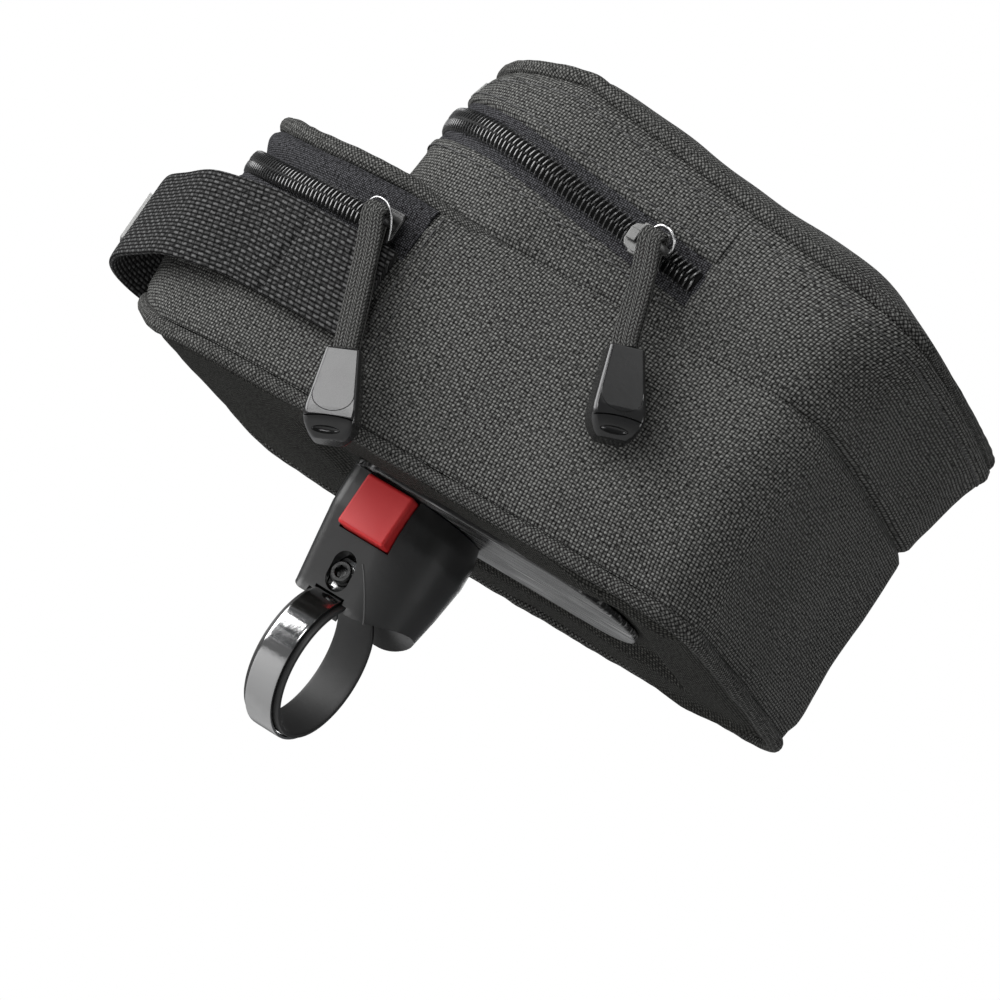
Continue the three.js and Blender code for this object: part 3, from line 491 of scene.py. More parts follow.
def outline(body, share, step):
    """A point of the plan at a share of the height."""
    nose = body["nose"] + column(body["rows"], "nose", share)
    half = HALF_WIDTH + column(body["rows"], "half", share)
    rear = REAR_X - column(body["rows"], "rear", share)
    i, r = abs(step), CORNER_RADIUS
    side_half = half - 1
    if i <= NOSE_STEPS:
        a = i / NOSE_STEPS * math.pi / 2
        x = mix(body["wide"], nose, max(0.0, math.cos(a)) ** (2 / NOSE_POWER))
        y = half * math.sin(a) ** (2 / NOSE_POWER)
    elif i <= SEAM_STEP:
        x, y = mix(body["wide"], body["seam"], (i - NOSE_STEPS) / SIDE_STEPS), half
    elif i <= SEAM_STEP + SIDE_STEPS:
        t = (i - SEAM_STEP) / SIDE_STEPS
        x, y = mix(body["seam"], rear + r, t), half - t * t
    elif i <= SEAM_STEP + SIDE_STEPS + CORNER_STEPS:
        a = (i - SEAM_STEP - SIDE_STEPS) / CORNER_STEPS * math.pi / 2
        x, y = rear + r - r * math.sin(a), side_half - r + r * math.cos(a)
    else:
        t = (i - SEAM_STEP - SIDE_STEPS - CORNER_STEPS) / REAR_STEPS
        x, y = rear - 1.2 * t * (2 - t), (side_half - r) * (1 - t)
    return x, y if step >= 0 else -y


def wrapped(step):
    if step > HALF_STEPS:
        return step - 2 * HALF_STEPS
    return step + 2 * HALF_STEPS if step < -HALF_STEPS else step


def mid_x(body, step):
    return outline(body, 0.5, wrapped(step))[0]


def skin(body, step, z):
    """A point of the bag's skin and the level direction that points out of it there."""
    s = wrapped(step)
    x = mid_x(body, s)
    share = clamp((z - body["low"](x)) / (body["high"](x) - body["low"](x)))
    here = outline(body, share, s)
    before, after = (outline(body, share, wrapped(s + d)) for d in (-0.5, 0.5))
    along = Vector((after[0] - before[0], after[1] - before[1])).normalized()
    return Vector((here[0], here[1], z)), Vector((along.y, -along.x, 0))


def walk(body, first, last):
    """The length in mm from one step to another at half height, and the step at any share of that length."""
    steps = np.linspace(first, last, 400)
    plan = np.array([outline(body, 0.5, wrapped(s)) for s in steps])
    run = np.concatenate([[0], np.cumsum(np.linalg.norm(np.diff(plan, axis=0), axis=1))])
    return run[-1], lambda share: float(np.interp(share * run[-1], run, steps))


print("round the base:", round(walk(LOWER, -HALF_STEPS, HALF_STEPS)[0]), "mm")

# %% [markdown]
# Cloth starts as a flat grid, as it lies on the cutting table. Each of its points is then laid at its place on the
# bag, and the grid's own map keeps where the point was on the flat cloth. Solidify gives the sheet its thickness.
# The solids' own faces could be reused, but they are few and uneven, while a grid has room for folds and seams.

# %% Helpers for laid cloth


def lay(name, columns, rows, place, around=False, closed_along=False):
    """A grid whose points go to place(a, b) = (point in mm, u in mm, v in mm), a and b running from 0 to 1."""
    bpy.ops.object.select_all(action="DESELECT")
    bpy.ops.mesh.primitive_grid_add(x_subdivisions=columns, y_subdivisions=rows, size=1, calc_uvs=True)
    piece = bpy.context.object
    piece.name = piece.data.name = name
    mesh = piece.data
    flat = np.empty(len(mesh.vertices) * 3)
    mesh.vertices.foreach_get("co", flat)
    flat = np.clip(flat.reshape(-1, 3)[:, :2] + 0.5, 0, 1)
    laid = [place(a, b) for a, b in flat]
    mesh.vertices.foreach_set("co", np.array([p for p, _, _ in laid], dtype=float).ravel() * MM)
    corner = np.empty(len(mesh.loops), dtype=np.int64)
    mesh.loops.foreach_get("vertex_index", corner)
    mesh.uv_layers.active.name = "cloth"
    on_cloth = np.array([(u, v) for _, u, v in laid])[corner] / MAP_UNIT
    mesh.uv_layers["cloth"].data.foreach_set("uv", on_cloth.ravel())
    if around or closed_along:
        edit_all(piece)
        bpy.ops.mesh.remove_doubles(threshold=0.02 * MM)
        bpy.ops.object.mode_set(mode="OBJECT")
    mesh.update()
    return piece


def pick(piece):
    """Selects one piece alone."""
    bpy.ops.object.select_all(action="DESELECT")
    piece.select_set(True)
    bpy.context.view_layer.objects.active = piece


def edit_all(piece):
    """Enters edit mode on one piece with all of it selected."""
    pick(piece)
    bpy.ops.object.mode_set(mode="EDIT")
    bpy.ops.mesh.select_all(action="SELECT")


def modify(piece, kind, **settings):
    """Adds a modifier and applies it at once."""
    pick(piece)
    step = piece.modifiers.new(kind.lower(), kind)
    for key, value in settings.items():
        setattr(step, key, value)
    bpy.ops.object.modifier_apply(modifier=step.name)


def eased(piece, degrees=40):
    """Smooths the shading over edges that bend less than an angle."""
    pick(piece)
    bpy.ops.object.shade_smooth_by_angle(angle=math.radians(degrees))


def crisp(piece, degrees=40):
    """Smooth edges between faces that stay flat."""
    eased(piece, degrees)
    modify(piece, "WEIGHTED_NORMAL", keep_sharp=True)


def flipped(piece):
    edit_all(piece)
    bpy.ops.mesh.flip_normals()
    bpy.ops.object.mode_set(mode="OBJECT")


def closed_up(piece, ends=True, smooth_to=50):
    """Fills a tube's two open ends, points all its faces outwards and smooths it up to an angle, if one is given."""
    edit_all(piece)
    if ends:
        bpy.ops.mesh.select_all(action="DESELECT")
        bpy.ops.mesh.select_non_manifold()
        bpy.ops.mesh.fill_holes(sides=0)
        bpy.ops.mesh.select_all(action="SELECT")
    bpy.ops.mesh.normals_make_consistent(inside=False)
    bpy.ops.object.mode_set(mode="OBJECT")
    if smooth_to:
        eased(piece, smooth_to)
    return piece


def thicken(piece, thick=CLOTH):
    modify(piece, "SOLIDIFY", thickness=thick * MM, offset=-1, use_even_offset=True)
    eased(piece, 50)


def finished(piece, finish, record_slot, *nodes, body="bag"):
    """Gives a piece its material and its body, and hides the solids that it stands for."""
    piece.data.materials.clear()
    piece.data.materials.append(finish)
    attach(piece, body)
    if nodes:
        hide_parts(*nodes)
    print(piece.name, len(piece.data.polygons), "faces")
    return piece


def curl(distance, depth, reach):
    """How far cloth dips towards a seam or a stitched line at a distance from it."""
    return -depth * math.exp(-((distance / reach) ** 2))


def rumple(point, grain, depth):
    """Soft unevenness with hills about grain mm across."""
    return noise.noise(Vector(point) / grain) * depth


def running(points):
    """The length of a line up to each of its points."""
    return np.concatenate([[0], np.cumsum([(q - p).length for p, q in zip(points, points[1:])])])


print("laying helpers ready")

# %% [markdown]
# The walls are strips between two heights. Their edges turn in to the seams, which draws the dark lines of a sewn
# bag, and stitched rows press the cloth in a little. Along the sides the fold between the lower and the upper body
# has no seam behind the pulls, so the line fades there and comes back at the rear corner.
# A cloth simulation could crease the walls, but it would round off their narrow seams, and stiffened cloth that is
# sewn on all sides hardly moves. So slow hills and narrow dips are added up to a relief instead.

# %% Cloth walls


SURFACES = {}
TOP_ROW = 3.4  # the stitched row's distance under the top's edge
FRONT_ROWS_X = (6.2, 9.9)  # two upright stitched rows beside the nose's cloth


def wall(name, body, steps, low, high, rows, relief, thick=CLOTH, out=0.0, pitch=1.1):
    """A strip of cloth from one step to another between two height functions."""
    length, step_at = walk(body, *steps)

    def surface(a, z):
        """The cloth's outer face at a share of its length and a height: the point, its direction out and its step."""
        s = step_at(a)
        x = mid_x(body, s)
        point, outwards = skin(body, s, z)
        spot = {"point": point, "step": s, "x": x, "low": z - low(x), "high": high(x) - z, "z": z}
        spot["first"], spot["last"] = a * length, (1 - a) * length
        return point + outwards * (out + relief(spot)), outwards, x

    def place(a, b):
        x = mid_x(body, step_at(a))
        z = mix(low(x), high(x), b)
        return surface(a, z)[0], a * length, z

    SURFACES[name] = (surface, length)
    piece = lay(name, round(length / pitch), rows, place)
    thicken(piece, thick)
    return piece


def side_line(x):
    """Depth of the line between the lower and the upper body: clear in front, gone along the side, deep behind."""
    return 0.12 + 0.75 * smooth(-30, -8, x) + 1.7 * smooth(-70, -84, x)


def body_relief(spot):
    inner = smooth(0, 8, min(spot["low"], spot["high"]))
    hills = rumple(spot["point"], 34, 1.3) + rumple(spot["point"], 15, 0.55) + rumple(spot["point"], 7, 0.16)
    edges = curl(spot["low"], 0.75, 1.0) + curl(spot["high"], side_line(spot["x"]), 1.2)
    front = curl(min(spot["first"], spot["last"]), 0.7, 0.8)
    rows = curl(spot["x"] - FRONT_ROWS_X[0], 0.3, 0.45) if abs(spot["step"]) < SEAM_STEP else 0
    corner = curl(spot["z"] - 47 - 0.12 * (spot["x"] + 62), 0.7, 1.6) * smooth(-58, -70, spot["x"])
    return hills * inner + edges + front + rows + corner


def upper_relief(spot):
    inner = smooth(0, 7, min(spot["low"], spot["high"]))
    hills = rumple(spot["point"], 30, 1.8) + rumple(spot["point"], 13, 0.7) + rumple(spot["point"], 7, 0.18)
    edges = curl(spot["low"], side_line(spot["x"]), 1.2) + curl(spot["high"], 0.9, 1.1)
    sides = curl(min(spot["first"], spot["last"]), 0.3, 0.9)
    stitched = curl(spot["high"] - TOP_ROW, 0.3, 0.5)
    return hills * inner + edges + sides + stitched


def nose_relief(spot):
    inner = smooth(0, 7, min(spot["low"], spot["high"]))
    hills = rumple(spot["point"], 26, 1.4) + rumple(spot["point"], 11, 0.5)
    edges = curl(spot["low"], 0.8, 1.0) + curl(spot["high"], 0.5, 0.8)
    return hills * inner + edges + curl(min(spot["first"], spot["last"]), 0.5, 0.8)


def step_relief(spot):
    inner = smooth(0, 5, min(spot["low"], spot["high"]))
    hills = rumple(spot["point"], 24, 1.1) + rumple(spot["point"], 10, 0.4)
    deep = 0.35 + side_line(spot["x"])
    ends = smooth(0, 6, min(spot["first"], spot["last"]))
    fold = 0.35 * math.exp(-(((spot["high"] - 1.2) / 1.1) ** 2)) * ends
    return hills * inner + curl(spot["low"], deep, 1.0) + fold + curl(spot["high"], 0.9, 0.6)


def band_relief(spot):
    inner = smooth(0, 6, min(spot["low"], spot["high"]))
    hills = rumple(spot["point"], 26, 1.5) + rumple(spot["point"], 11, 0.5)
    ends = smooth(0, 6, min(spot["first"], spot["last"]))
    fold = 0.45 * math.exp(-(((spot["low"] - 1.3) / 1.2) ** 2)) * ends
    stitched = curl(spot["high"] - TOP_ROW, 0.3, 0.5)
    return hills * inner + fold + curl(spot["low"], 1.0, 0.6) + curl(spot["high"], 0.9, 1.1) + stitched


REACH = GAP / 2 + 0.12
FRONT_HALF, MAIN_HALF = 4.2, 4.9
body_wall = wall(
    "side_and_rear_cloth", LOWER, (NOSE_STEPS, 2 * HALF_STEPS - NOSE_STEPS),
    base_height, lambda x: lid_height(x) + REACH, 46, body_relief,
)
nose_wall = wall(
    "nose_cloth", LOWER, (-NOSE_STEPS, NOSE_STEPS),
    base_height, lambda x: front_zip_height(x) - FRONT_HALF, 32, nose_relief,
)
step_wall = wall(
    "step_cloth", UPPER, (-SEAM_STEP - 0.05, SEAM_STEP + 0.05),
    lambda x: TALL_Z - REACH, lambda x: main_zip_height(x) - MAIN_HALF, 22, step_relief,
)
lid_band = wall(
    "lid_band_cloth", UPPER, (-SEAM_STEP - 0.05, SEAM_STEP + 0.05),
    lambda x: main_zip_height(x) + MAIN_HALF, top_height, 26, band_relief,
)
back_wall = wall(
    "upper_rear_cloth", UPPER, (SEAM_STEP, 2 * HALF_STEPS - SEAM_STEP),
    lambda x: TALL_Z - REACH, top_height, 36, upper_relief,
)
finished(body_wall, CLOTH_BODY, "woven_cloth", "body_wall")
finished(nose_wall, CLOTH_BODY, "woven_cloth", "nose_wall")
finished(step_wall, CLOTH_BODY, "woven_cloth", "step_wall")
finished(lid_band, CLOTH_BODY, "woven_cloth", "lid_band")
finished(back_wall, CLOTH_BODY, "woven_cloth", "back_wall")

# %% [markdown]
# The domed top, the base and the low front lid are panels. Top and base are laid as rings round a middle point, from
# the seam inwards, and the front lid as a crescent between the nose's edge and the tall part.
# They could be flat faces pushed up by hand. Rings give a dome that dips to its seam evenly all the way round.

# %% Top, base and front lid
TOP_PIPING, LID_PIPING, BASE_PIPING = 1.5, 1.9, 1.6


def ring_plan(body, inset):
    """The plan of a seam moved inwards, as a function of a share of the way round."""
    length, step_at = walk(body, -HALF_STEPS, HALF_STEPS)

    def at(share):
        s = step_at(share % 1.0)
        x = mid_x(body, s)
        point, outwards = skin(body, s, body["high"](x) if body is UPPER else body["low"](x))
        return point - outwards * inset

    return at


def disc(name, body, inset, height, columns, rows, upwards):
    """A panel filling a seam's ring, domed by height(x, y, k), k being 1 at the edge and 0 in the middle."""
    rim = ring_plan(body, inset)
    middle = sum((rim(i / 60) for i in range(60)), Vector()) / 60

    def place(a, b):
        k = 1 - b if upwards else b
        edge = rim(a)
        x, y = mix(middle.x, edge.x, k), mix(middle.y, edge.y, k)
        return Vector((x, y, height(x, y, k))), x, y

    piece = lay(name, columns, rows, place, around=True)
    thicken(piece)
    return piece


def dome(x, y, k):
    crown = 7 * (1 - k**4)
    tucked = -0.9 * smooth(0.965, 1.0, k)
    hills = rumple((x, y, 40), 30, 1.3) + rumple((x, y, 9), 13, 0.4)
    crown += 1.5 * smooth(-40, -76, x)
    return top_height(x) + TOP_PIPING + 0.9 + crown + tucked + hills * smooth(1.0, 0.8, k)


def base_face(x, y, k):
    from_plate = max(abs(y) - 17.5, x - 16, -57 - x, 0)
    beside = smooth(1.5, 9, from_plate)
    hills = rumple((x, y, 5), 26, 0.9) + rumple((x, y, 8), 11, 0.35)
    ridge = math.exp(-(((abs(y) - 39 + 0.3 * max(0, -58 - x)) / 2.4) ** 2)) * smooth(-44, -62, x)
    inner = smooth(1.0, 0.92, k)
    return base_height(x) - 0.6 - beside * (1.2 + inner * (1.3 + 1.3 * ridge - hills))


def lid_point(step, k, lift=0.0):
    """A point of the front lid, k being 0 at the nose's edge and 1 at the tall part."""
    x = mid_x(LOWER, step)
    edge, outwards = skin(LOWER, step, lid_height(x))
    edge = edge - outwards * mix(2 * LID_PIPING, 0.6, smooth(NOSE_STEPS - 1.2, NOSE_STEPS - 0.4, abs(step)))
    against, out = skin(UPPER, step * 0.8, TALL_Z)
    p = edge.lerp(against + out * 0.2, k)
    middle = 1 - (step / NOSE_STEPS) ** 2
    crown = 1.8 * math.sin(math.pi * k) * middle
    p.z = lid_height(p.x) + GAP + CLOTH + 0.6 * middle + crown + lift
    return p


def front_lid_place(a, b):
    step = mix(-NOSE_STEPS, NOSE_STEPS, a)
    p = lid_point(step, b)
    tucked = curl(b * 24, 0.5, 1.0) + curl((1 - b) * 24, 0.6, 1.0)
    p.z += tucked + rumple(p, 14, 0.5) * math.sin(math.pi * b)
    return p, p.x, p.y


top_lid = disc("domed_top", UPPER, 2 * TOP_PIPING - 0.1, dome, 240, 44, upwards=True)
finished(top_lid, CLOTH_BODY, "woven_cloth", "top_lid")
bottom = disc("base_cloth", LOWER, 2 * BASE_PIPING - 0.1, base_face, 240, 40, upwards=False)
finished(bottom, CLOTH_BASE_SHADED, "woven_cloth", "bottom_panel")
front_lid = lay("front_lid_cloth", 150, 26, front_lid_place)
if front_lid.data.polygons[0].normal.z < 0:
    flipped(front_lid)
thicken(front_lid)
finished(front_lid, CLOTH_BODY, "woven_cloth", "front_lid")

# %% [markdown]
# Every panel was cut flat from a roll of cloth before it was sewn, and that size is worked out and printed. A wall is
# a strip as long as its seam, and its height is the area of one of its faces over that length. The top, the base and
# the front lid are cut from a rectangle that holds them, so their area is given as well.

# %% Panels as cut cloth


def cut_from_roll(piece):
    """Works out and prints the flat size that a sewn panel was cut to."""
    one_face = sum(face.area for face in piece.data.polygons) / 2
    if piece.name in SURFACES:
        length = SURFACES[piece.name][1] * MM
        flat = (length, one_face / length)
    else:
        corners = np.array([vertex.co[:] for vertex in piece.data.vertices])
        spans = [float(side) for side in np.ptp(corners, axis=0)[:2]]
        ease = max(1.0, math.sqrt(one_face / (0.95 * spans[0] * spans[1])))
        flat = tuple(side * ease for side in spans)
    print(piece.name, "cut to", [round(side * 1000, 1) for side in flat], "mm,", round(one_face * 1e4, 1), "cm2")


for panel in (body_wall, nose_wall, step_wall, lid_band, back_wall, top_lid, bottom, front_lid):
    cut_from_roll(panel)

# %% [markdown]
# Piping is a strip of cloth folded over the seam allowance and sewn down, so it looks like a round roll with a weave
# that runs slantwise. It is laid round a line: one direction of the grid follows the line, the other goes round it.
# A curve with a bevel makes such a roll too, but a laid one has its own map for the weave and can pucker.

# %% Rolls


def frames_along(line, closed=False, level=False):
    """For each point of a line its direction, and two directions square to it."""
    count = len(line)
    frames = []
    side = None
    for i, point in enumerate(line):
        before = line[i - 1] if i or closed else point
        after = line[(i + 1) % count] if i < count - 1 or closed else point
        along = (after - before).normalized()
        if level or side is None:
            side = Vector((along.y, -along.x, 0))
            side = side.normalized() if side.length > 1e-6 else Vector((1, 0, 0))
        side = (side - along * side.dot(along)).normalized()
        frames.append((point, along, side, along.cross(side)))
    return frames


def roll(name, line, wide, high, closed=False, level=True, sides=14, relief=None):
    """A tube of oval section round a line of points in mm."""
    lengths = running([*line, line[0]] if closed else line)
    frames = frames_along(line, closed, level)
    frames = [*frames, frames[0]] if closed else frames
    girth = math.pi * (wide + high)

    def place(a, b):
        i = min(len(frames) - 1, round(a * (len(frames) - 1)))
        point, _, side, upright = frames[i]
        turned = 2 * math.pi * b
        swell = 1 + (relief(point) if relief else 0)
        rise = upright * math.sin(turned) * high * swell
        return point + side * math.cos(turned) * wide * swell + rise, lengths[i], b * girth

    piece = lay(name, len(frames) - 1, sides, place, around=True, closed_along=closed)
    return closed_up(piece, ends=not closed)


def seam_line(body, first, last, count, inset, lift, height, rear_inset=0.0):
    """Points along a seam, moved inwards and up."""
    length, step_at = walk(body, first, last)
    line = []
    for i in range(count):
        s = step_at(i / (count - 1) if last - first < 2 * HALF_STEPS else i / count)
        z = height(mid_x(body, s))
        point, outwards = skin(body, s, z)
        more = rear_inset * smooth(-66, -84, point.x)
        line.append(point - outwards * (inset + more) + Vector((0, 0, lift - 0.15 * more)))
    return line


def pucker(point):
    return rumple(point, 3.2, 0.09) + rumple(point, 11, 0.12)


base_line = seam_line(LOWER, -HALF_STEPS, HALF_STEPS, 420, BASE_PIPING, -BASE_PIPING - 0.15, base_height)
base_roll = roll("base_binding", base_line, BASE_PIPING + 0.05, BASE_PIPING + 0.2, closed=True, relief=pucker)
finished(base_roll, CLOTH_BIAS, "piping_cloth", "bottom_piping")
top_line = seam_line(UPPER, -HALF_STEPS, HALF_STEPS, 380, TOP_PIPING, TOP_PIPING + 0.2, top_height, rear_inset=1.0)
top_roll = roll("top_binding", top_line, TOP_PIPING + 0.1, TOP_PIPING + 0.3, closed=True, relief=pucker)
finished(top_roll, CLOTH_BIAS, "piping_cloth", "top_piping")
RUN_ON = NOSE_STEPS + 1.6
lid_line, lid_swell = [], []
_, lid_step = walk(LOWER, -RUN_ON, RUN_ON)
for i in range(260):
    s = lid_step(i / 259)
    beyond = smooth(NOSE_STEPS - 1.3, NOSE_STEPS + 0.6, abs(s))
    ending = smooth(NOSE_STEPS + 0.4, RUN_ON, abs(s))
    point, outwards = skin(LOWER, s, lid_height(mid_x(LOWER, s)))
    radius = LID_PIPING * mix(1, mix(0.6, 0.3, ending), beyond)
    inwards = radius + mix(0, 0.2, beyond) + 0.6 * ending
    lid_line.append(point - outwards * inwards + Vector((0, 0, mix(2.1, 0.2, beyond))))
    lid_swell.append(radius / LID_PIPING)
lid_places = {tuple(round(c, 4) for c in p): k for p, k in zip(lid_line, lid_swell)}


def lid_pucker(point):
    return lid_places[tuple(round(c, 4) for c in point)] - 1 + pucker(point)


lid_roll = roll("front_lid_binding", lid_line, LID_PIPING, LID_PIPING + 0.1, relief=lid_pucker)
finished(lid_roll, CLOTH_BIAS, "piping_cloth", "front_lid_piping")

# %% [markdown]
# A coil zip is two nylon spirals sewn to two tapes. Seen from outside, each turn is a short bent bar that starts at
# its tape, arches over and ends in a head that hooks between two turns of the other side. One bar is modelled and
# then repeated along the zip on both sides, half a turn apart.
# An Array with a Curve modifier could repeat it, but would lean the bars where the skin bends. Here each copy gets
# its own matrix and stands square on the skin.

# %% Zip tapes


def front_tape_relief(spot):
    middle = spot["z"] - front_zip_height(spot["x"])
    ridge = 0.55 * math.exp(-((middle / 2.6) ** 4))
    swell = 0.8 * math.exp(-(((middle - 6.4) / 2.1) ** 2))
    groove = curl(middle - 3.4, 0.35, 0.6) + curl(middle + 3.3, 0.3, 0.5)
    return ridge + swell + groove + curl(spot["high"], 0.8, 0.7) + rumple(spot["point"], 12, 0.25)


def main_tape_relief(spot):
    middle = spot["z"] - main_zip_height(spot["x"])
    ridge = 0.55 * math.exp(-((middle / 2.6) ** 4))
    groove = curl(abs(middle) - 3.5, 0.3, 0.5)
    return ridge + groove + rumple(spot["point"], 12, 0.2)


front_tape = wall(
    "front_zip_cloth", LOWER, (-NOSE_STEPS, NOSE_STEPS),
    lambda x: front_zip_height(x) - FRONT_HALF - REACH, lambda x: lid_height(x) + 0.2,
    26, front_tape_relief, thick=1.0, out=-0.5, pitch=0.9,
)
main_tape = wall(
    "main_zip_cloth", UPPER, (-SEAM_STEP - 0.1, SEAM_STEP + 0.1),
    lambda x: main_zip_height(x) - MAIN_HALF - 0.3, lambda x: main_zip_height(x) + MAIN_HALF + 0.3,
    22, main_tape_relief, thick=1.0, out=-0.5, pitch=0.9,
)
finished(front_tape, TAPE_CLOTH, "zip_tape", "front_zip_tape")
finished(main_tape, TAPE_CLOTH, "zip_tape", "main_zip_tape")

# %% Coils
COIL_PITCH = 1.32
WIRE = 0.22
# One bar in mm: across the zip from its tape, along the zip, out of the tape
BAR = [
    (2.75, 0.5, 0.1), (2.45, 0.42, 0.62), (1.6, 0.26, 0.9), (0.6, 0.08, 0.98), (-0.2, -0.06, 0.86), (-0.5, -0.1, 0.4),
]


def bar_model(name, mirrored):
    across = -1 if mirrored else 1
    line = [Vector((t, w * across, n)) for w, t, n in BAR]
    return roll(name, line, WIRE, WIRE * 0.9, level=False, sides=6)


def row_of(name, placed):
    """Joins many placed copies of small models into one piece. placed = [(model, matrix in mm), ...]"""
    gathered = bmesh.new()
    for model, matrix in placed:
        copy = model.data.copy()
        copy.transform(matrix)
        gathered.from_mesh(copy)
        bpy.data.meshes.remove(copy)
    mesh = bpy.data.meshes.new(name)
    gathered.to_mesh(mesh)
    gathered.free()
    piece = bpy.data.objects.new(name, mesh)
    bpy.context.collection.objects.link(piece)
    eased(piece, 50)
    return piece


def on_skin(body, step, height, out):
    """A matrix in metres whose x runs along the zip, y up the skin and z out of it, at a step and height function."""
    spots = [skin(body, s, height(mid_x(body, s))) for s in (step - 0.12, step, step + 0.12)]
    here, outwards = spots[1]
    along = (spots[2][0] - spots[0][0]).normalized()
    upright = outwards.cross(along).normalized()
    return Matrix.Translation((here + outwards * out) * MM) @ turned_to(along, upright, along.cross(upright))


def discard(*models):
    for model in models:
        bpy.data.objects.remove(model)


upper_bar, lower_bar = bar_model("upper_bar", False), bar_model("lower_bar", True)


def coil(name, body, steps, height):
    length, step_at = walk(body, *steps)
    count = int(length / COIL_PITCH)
    placed = []
    for i in range(count):
        placed.append((upper_bar, on_skin(body, step_at(i / count), height, -0.05)))
        placed.append((lower_bar, on_skin(body, step_at((i + 0.5) / count), height, -0.05)))
    line = []
    for i in range(count):
        s = step_at(i / (count - 1))
        point, outwards = skin(body, s, height(mid_x(body, s)))
        line.append(point + outwards * 0.12)
    # A flat near-black strip under the turns: partly the coil's inner cord, partly painted shade in the gaps between
    # turns.
    core_and_shade = roll(name + "_core", line, 0.34, 2.35, sides=10)
    return row_of(name, placed), core_and_shade


front_coil, front_core_and_shade = coil("front_zip_coil", LOWER, (-NOSE_STEPS + 0.7, NOSE_STEPS - 0.7), front_zip_height)
main_coil, main_core_and_shade = coil("main_zip_coil", UPPER, (-SEAM_STEP + 0.05, SEAM_STEP - 0.05), main_zip_height)
finished(front_coil, COIL_BLACK, "zip_teeth", "front_zip_teeth")
finished(main_coil, COIL_BLACK, "zip_teeth", "main_zip_teeth")
finished(front_core_and_shade, CORE_AND_GAP_SHADE, "zip_teeth")
finished(main_core_and_shade, CORE_AND_GAP_SHADE, "zip_teeth")
discard(upper_bar, lower_bar)

# %% [markdown]
# Rows of sewing hold it all together. A stitch is a short thread that dips into the cloth at both ends, so a small
# arched bar is modelled once and repeated along each seam, lying in the groove that the row presses into the cloth.
# A bump could draw them, but only real threads throw the small shadows that make a seam look sewn.

# %% Stitches
STITCH, STITCH_APART, STITCH_LIFT = 2.3, 0.45, 0.08
stitch_bar = roll(
    "stitch",
    [Vector((STITCH * t, 0, 0.26 * math.sin(math.pi * (t + 0.5)) - 0.1)) for t in np.linspace(-0.5, 0.5, 7)],
    0.21, 0.17, level=False, sides=6,
)


def standing(here, ahead, outwards, lift):
    """A matrix whose x runs from here to ahead and whose z points out of the cloth, both in mm."""
    along = (ahead - here).normalized()
    across = outwards.cross(along).normalized()
    return Matrix.Translation((here + outwards * lift) * MM) @ turned_to(along, across, along.cross(across))


def stitch_row(name, height):
    """Stitches along a wall at a height function."""
    surface, length = SURFACES[name]
    count = int(length / (STITCH + STITCH_APART))
    row = []
    for i in range(1, count):
        a = i / count
        x = surface(a, 100)[2]
        here, outwards, _ = surface(a, height(x))
        ahead, _, _ = surface(a + 0.5 / length, height(x))
        row.append((stitch_bar, standing(here, ahead, outwards, STITCH_LIFT)))
    return row


def upright_row(name, x, low, high):
    """Stitches up a wall on both sides where its outline passes x."""
    surface, length = SURFACES[name]
    shares = np.linspace(0, 1, 1600)
    passed = [surface(a, 60)[2] < x for a in shares]
    places = [shares[i] for i in range(1, len(shares)) if passed[i] != passed[i - 1]]
    count = int((high - low) / (STITCH + STITCH_APART))
    row = []
    for a in places:
        for i in range(count):
            z = mix(low, high, (i + 0.5) / count)
            here, outwards, _ = surface(a, z)
            row.append((stitch_bar, standing(here, surface(a, z + 0.5)[0], outwards, STITCH_LIFT)))
    return row


rows = []
for name, height in (
    ("lid_band_cloth", lambda x: top_height(x) - TOP_ROW),
    ("upper_rear_cloth", lambda x: top_height(x) - TOP_ROW),
    ("lid_band_cloth", lambda x: main_zip_height(x) + MAIN_HALF + 2.6),
    ("step_cloth", lambda x: main_zip_height(x) - MAIN_HALF - 2.4),
):
    rows += stitch_row(name, height)
for x in FRONT_ROWS_X:
    rows += upright_row("side_and_rear_cloth", x, BASE_Z + 2, LID_Z - 1)
finished(row_of("seam_stitches", rows), THREAD, "woven_cloth")

# %% [markdown]
# The webbing strap runs round the nose. It is sewn flat to both sides, then stands off the cloth and makes a loop in
# front. Its path is a smooth curve through a few points, and its section is a flat oval with rounded edges.
# A plane with Solidify would be quicker, but its edges would be square, and webbing has soft ones.

# %% Webbing strap
STRAP_WIDTH, STRAP_THICK = 21.5, 1.8
STRAP_Z = FRONT_ZIP_Z - 3.7 - 0.25 - STRAP_WIDTH / 2
STRAP_NOSE = NOSE_X + LOWER_ROWS[2][1]
STRAP_PATH = [(0.01, 2), (0.16, 2), (0.35, 2.1), (0.51, 3.2), (0.65, 5.6), (0.79, 8.2)]
STRAP_LOOP = [(0.95, 0.67), (1.085, 0.47), (1.18, 0.23), (1.212, 0)]


def side_y(x):
    half = HALF_WIDTH + column(LOWER_ROWS, "half", 0.5)
    nose = NOSE_X + column(LOWER_ROWS, "nose", 0.5)
    u = clamp((x - 12) / (nose - 12))
    return half * (1 - u**NOSE_POWER) ** (1 / NOSE_POWER)


def cubic(start, end, leaving, arriving, last):
    """Forty points from start to end, with the speeds at which the curve leaves and arrives."""
    steep = 2 * start - 2 * end + leaving + arriving
    bent = 3 * end - 3 * start - 2 * leaving - arriving
    return [steep * t**3 + bent * t * t + leaving * t + start for t in np.linspace(0, 1, 40, endpoint=last)]


def through(points, samples):
    """A smooth curve through points, as many even samples along it."""
    fine = []
    last = len(points) - 1
    for i in range(last):
        p0, p1, p2, p3 = (points[min(last, max(0, j))] for j in (i - 1, i, i + 1, i + 2))
        fine += cubic(p1, p2, (p2 - p0) * 0.5, (p3 - p1) * 0.5, i == last - 1)
    return evened(fine, samples)


